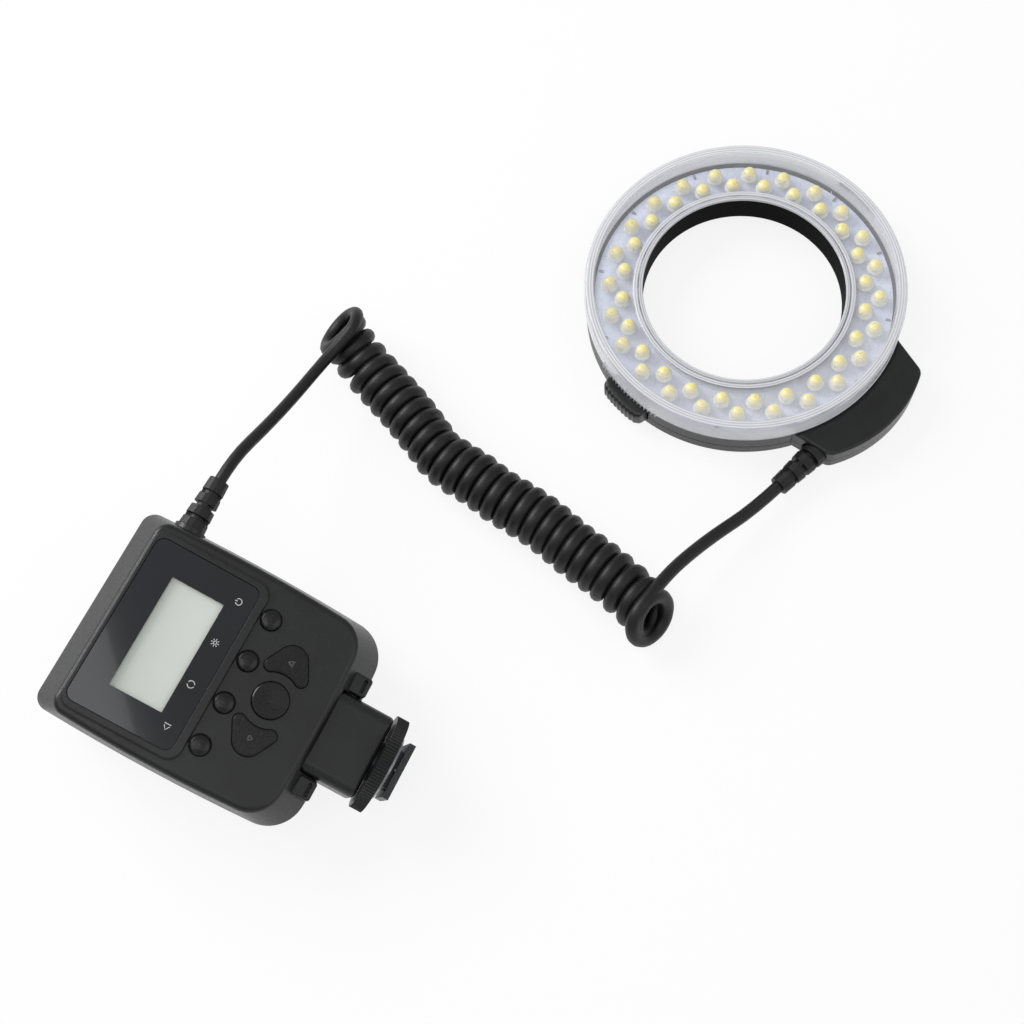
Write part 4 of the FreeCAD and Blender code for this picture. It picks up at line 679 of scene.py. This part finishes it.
def sign_strokes(name):
    """The strokes of a sign, as lines in millimetres: x to the right and y up as one reads it. They are a
    broken ring with a bar, a disc with rays, two half rings, an outline triangle, and a bar with a point."""
    if name == "power":
        return [arc(1.0, 35, 325), np.array([[0, 0.35], [0, 1.25]])]
    if name == "light":
        rays = [np.array([[0.8 * math.sin(a), 0.8 * math.cos(a)], [1.3 * math.sin(a), 1.3 * math.cos(a)]])
                for a in np.radians(np.arange(0, 360, 45))]
        return [arc(0.5, 0, 360)] + rays
    if name == "mode":
        return [arc(1.1, 15, 165), arc(1.1, 195, 345)]
    if name in ("up", "down"):
        corners = arc(1.0, 0, 360, 4) * (1 if name == "up" else -1)
        return [corners[k:k + 2] for k in range(3)]
    return [np.array([[-0.9, 1.1], [-0.9, -1.1]]), np.array([[-0.35, 0.9], [1.0, 0.0], [-0.35, -0.9]])]


def make_sign(name):
    """A sign whose strokes are a flat rectangle carried along each line, half the width to either side."""
    x, y, low, width, ink, body, slot = SIGNS[name]
    points, faces = [], []
    for line in sign_strokes(name):
        run = unit(np.gradient(line, axis=0))
        across = np.stack([-run[:, 1], run[:, 0]], axis=1) * width / 2
        block = [np.hstack([np.column_stack([-edge[:, 1], -edge[:, 0]]), np.full((len(line), 1), level)])
                 for level in (low, low + SIGN_THICKNESS) for edge in (line + across, line - across)]
        first, count = sum(len(p) for p in points), len(line)
        points += block
        low_a, low_b, top_a, top_b = (first + k * count for k in range(4))
        for a, b in ((top_a, top_b), (low_b, low_a), (top_b, low_b), (low_a, top_a)):
            faces += [(a + k, b + k, b + k + 1, a + k + 1) for k in range(count - 1)]
        faces += [(low_a, top_a, top_b, low_b), tuple(k + count - 1 for k in (low_b, top_b, top_a, low_a))]
    put("sign_" + name, on_controller(np.vstack(points) + [x, y, 0.0]), faces, ink, body=body, smooth=False)


for sign_name in SIGNS:
    make_sign(sign_name)


# Floor, backdrop and light, in metres. The floor lies just under the light, so that both stay apart, and
# glows by a share of its own. Two lights aim at the middle of the whole, and a card hangs straight over a
# spot in front of the display panel, which mirrors it.
FLOOR_HALF, FLOOR_LEVEL = 6.0, -0.0005
FLOOR_GLOW = 0.86
ROOM_STRENGTH = 0.46
WHITE = (1, 1, 1, 1)
MIDDLE = (-0.06, -0.05, 0.0)
PANEL_SPOT = (-0.224, -0.261)


def make_floor():
    """A plain pale floor that looks white to the camera, to gloss and through clear parts."""
    made, tree, _ = new_material("pale_floor")
    rays = add(tree, "ShaderNodeLightPath").outputs
    seen = calculate(tree, "MAXIMUM", rays["Is Camera Ray"], rays["Is Glossy Ray"])
    seen = calculate(tree, "MAXIMUM", seen, rays["Is Transmission Ray"])
    white = add(tree, "ShaderNodeEmission", values={"Color": WHITE, "Strength": 1.0}).outputs["Emission"]
    paint = add(tree, "ShaderNodeBsdfDiffuse", values={"Color": linear("#F2F2F2")}).outputs["BSDF"]
    both = add(tree, "ShaderNodeMixShader",
               links={"Fac": calculate(tree, "MULTIPLY", seen, FLOOR_GLOW), 1: paint, 2: white})
    finish_material(made, both.outputs["Shader"])
    mesh = bpy.data.meshes.new("floor")
    corners = [(x * FLOOR_HALF, y * FLOOR_HALF, FLOOR_LEVEL) for x, y in ((-1, -1), (1, -1), (1, 1), (-1, 1))]
    mesh.from_pydata(corners, [], [(0, 1, 2, 3)])
    mesh.materials.append(made)
    floor = stand("floor", mesh)


def make_world():
    """An even pale room, white behind the object."""
    world = bpy.data.worlds.new("room")
    world.use_nodes = True
    tree = world.node_tree
    tree.nodes.clear()
    rays = add(tree, "ShaderNodeLightPath").outputs
    seen = calculate(tree, "MAXIMUM", rays["Is Camera Ray"], rays["Is Transmission Ray"])
    room, white = (add(tree, "ShaderNodeBackground", values={"Color": WHITE, "Strength": strength})
                   for strength in (ROOM_STRENGTH, 1.0))
    both = add(tree, "ShaderNodeMixShader",
               links={"Fac": seen, 1: room.outputs["Background"], 2: white.outputs["Background"]})
    add(tree, "ShaderNodeOutputWorld", links={"Surface": both.outputs["Shader"]})
    bpy.context.scene.world = world


def make_light(name, place, aim, size, power, edge=(0.0, 0.0, 1.0)):
    """A square soft light at a place, turned to a point, two of its edges along the given way."""
    light = bpy.data.lights.new(name, "AREA")
    light.shape = "SQUARE"
    light.size = size
    light.energy = power
    ahead = unit(np.array(aim, float) - np.array(place, float))
    side = unit(np.cross(ahead, edge))
    turn_to(stand(name, light), side, np.cross(side, ahead), -ahead, place)


make_floor()
make_world()
make_light("key_left", (-0.9, 0.45, 0.8), MIDDLE, size=0.7, power=11.5)
make_light("fill_right", (0.8, -0.5, 0.9), MIDDLE, size=0.9, power=2.0)
make_light("card_over_panel", (*PANEL_SPOT, 0.9), (*PANEL_SPOT, 0.0), size=0.5, power=1.2,
           edge=(0.334, -0.943, 0.0))
bpy.context.scene.view_settings.view_transform = "Standard"
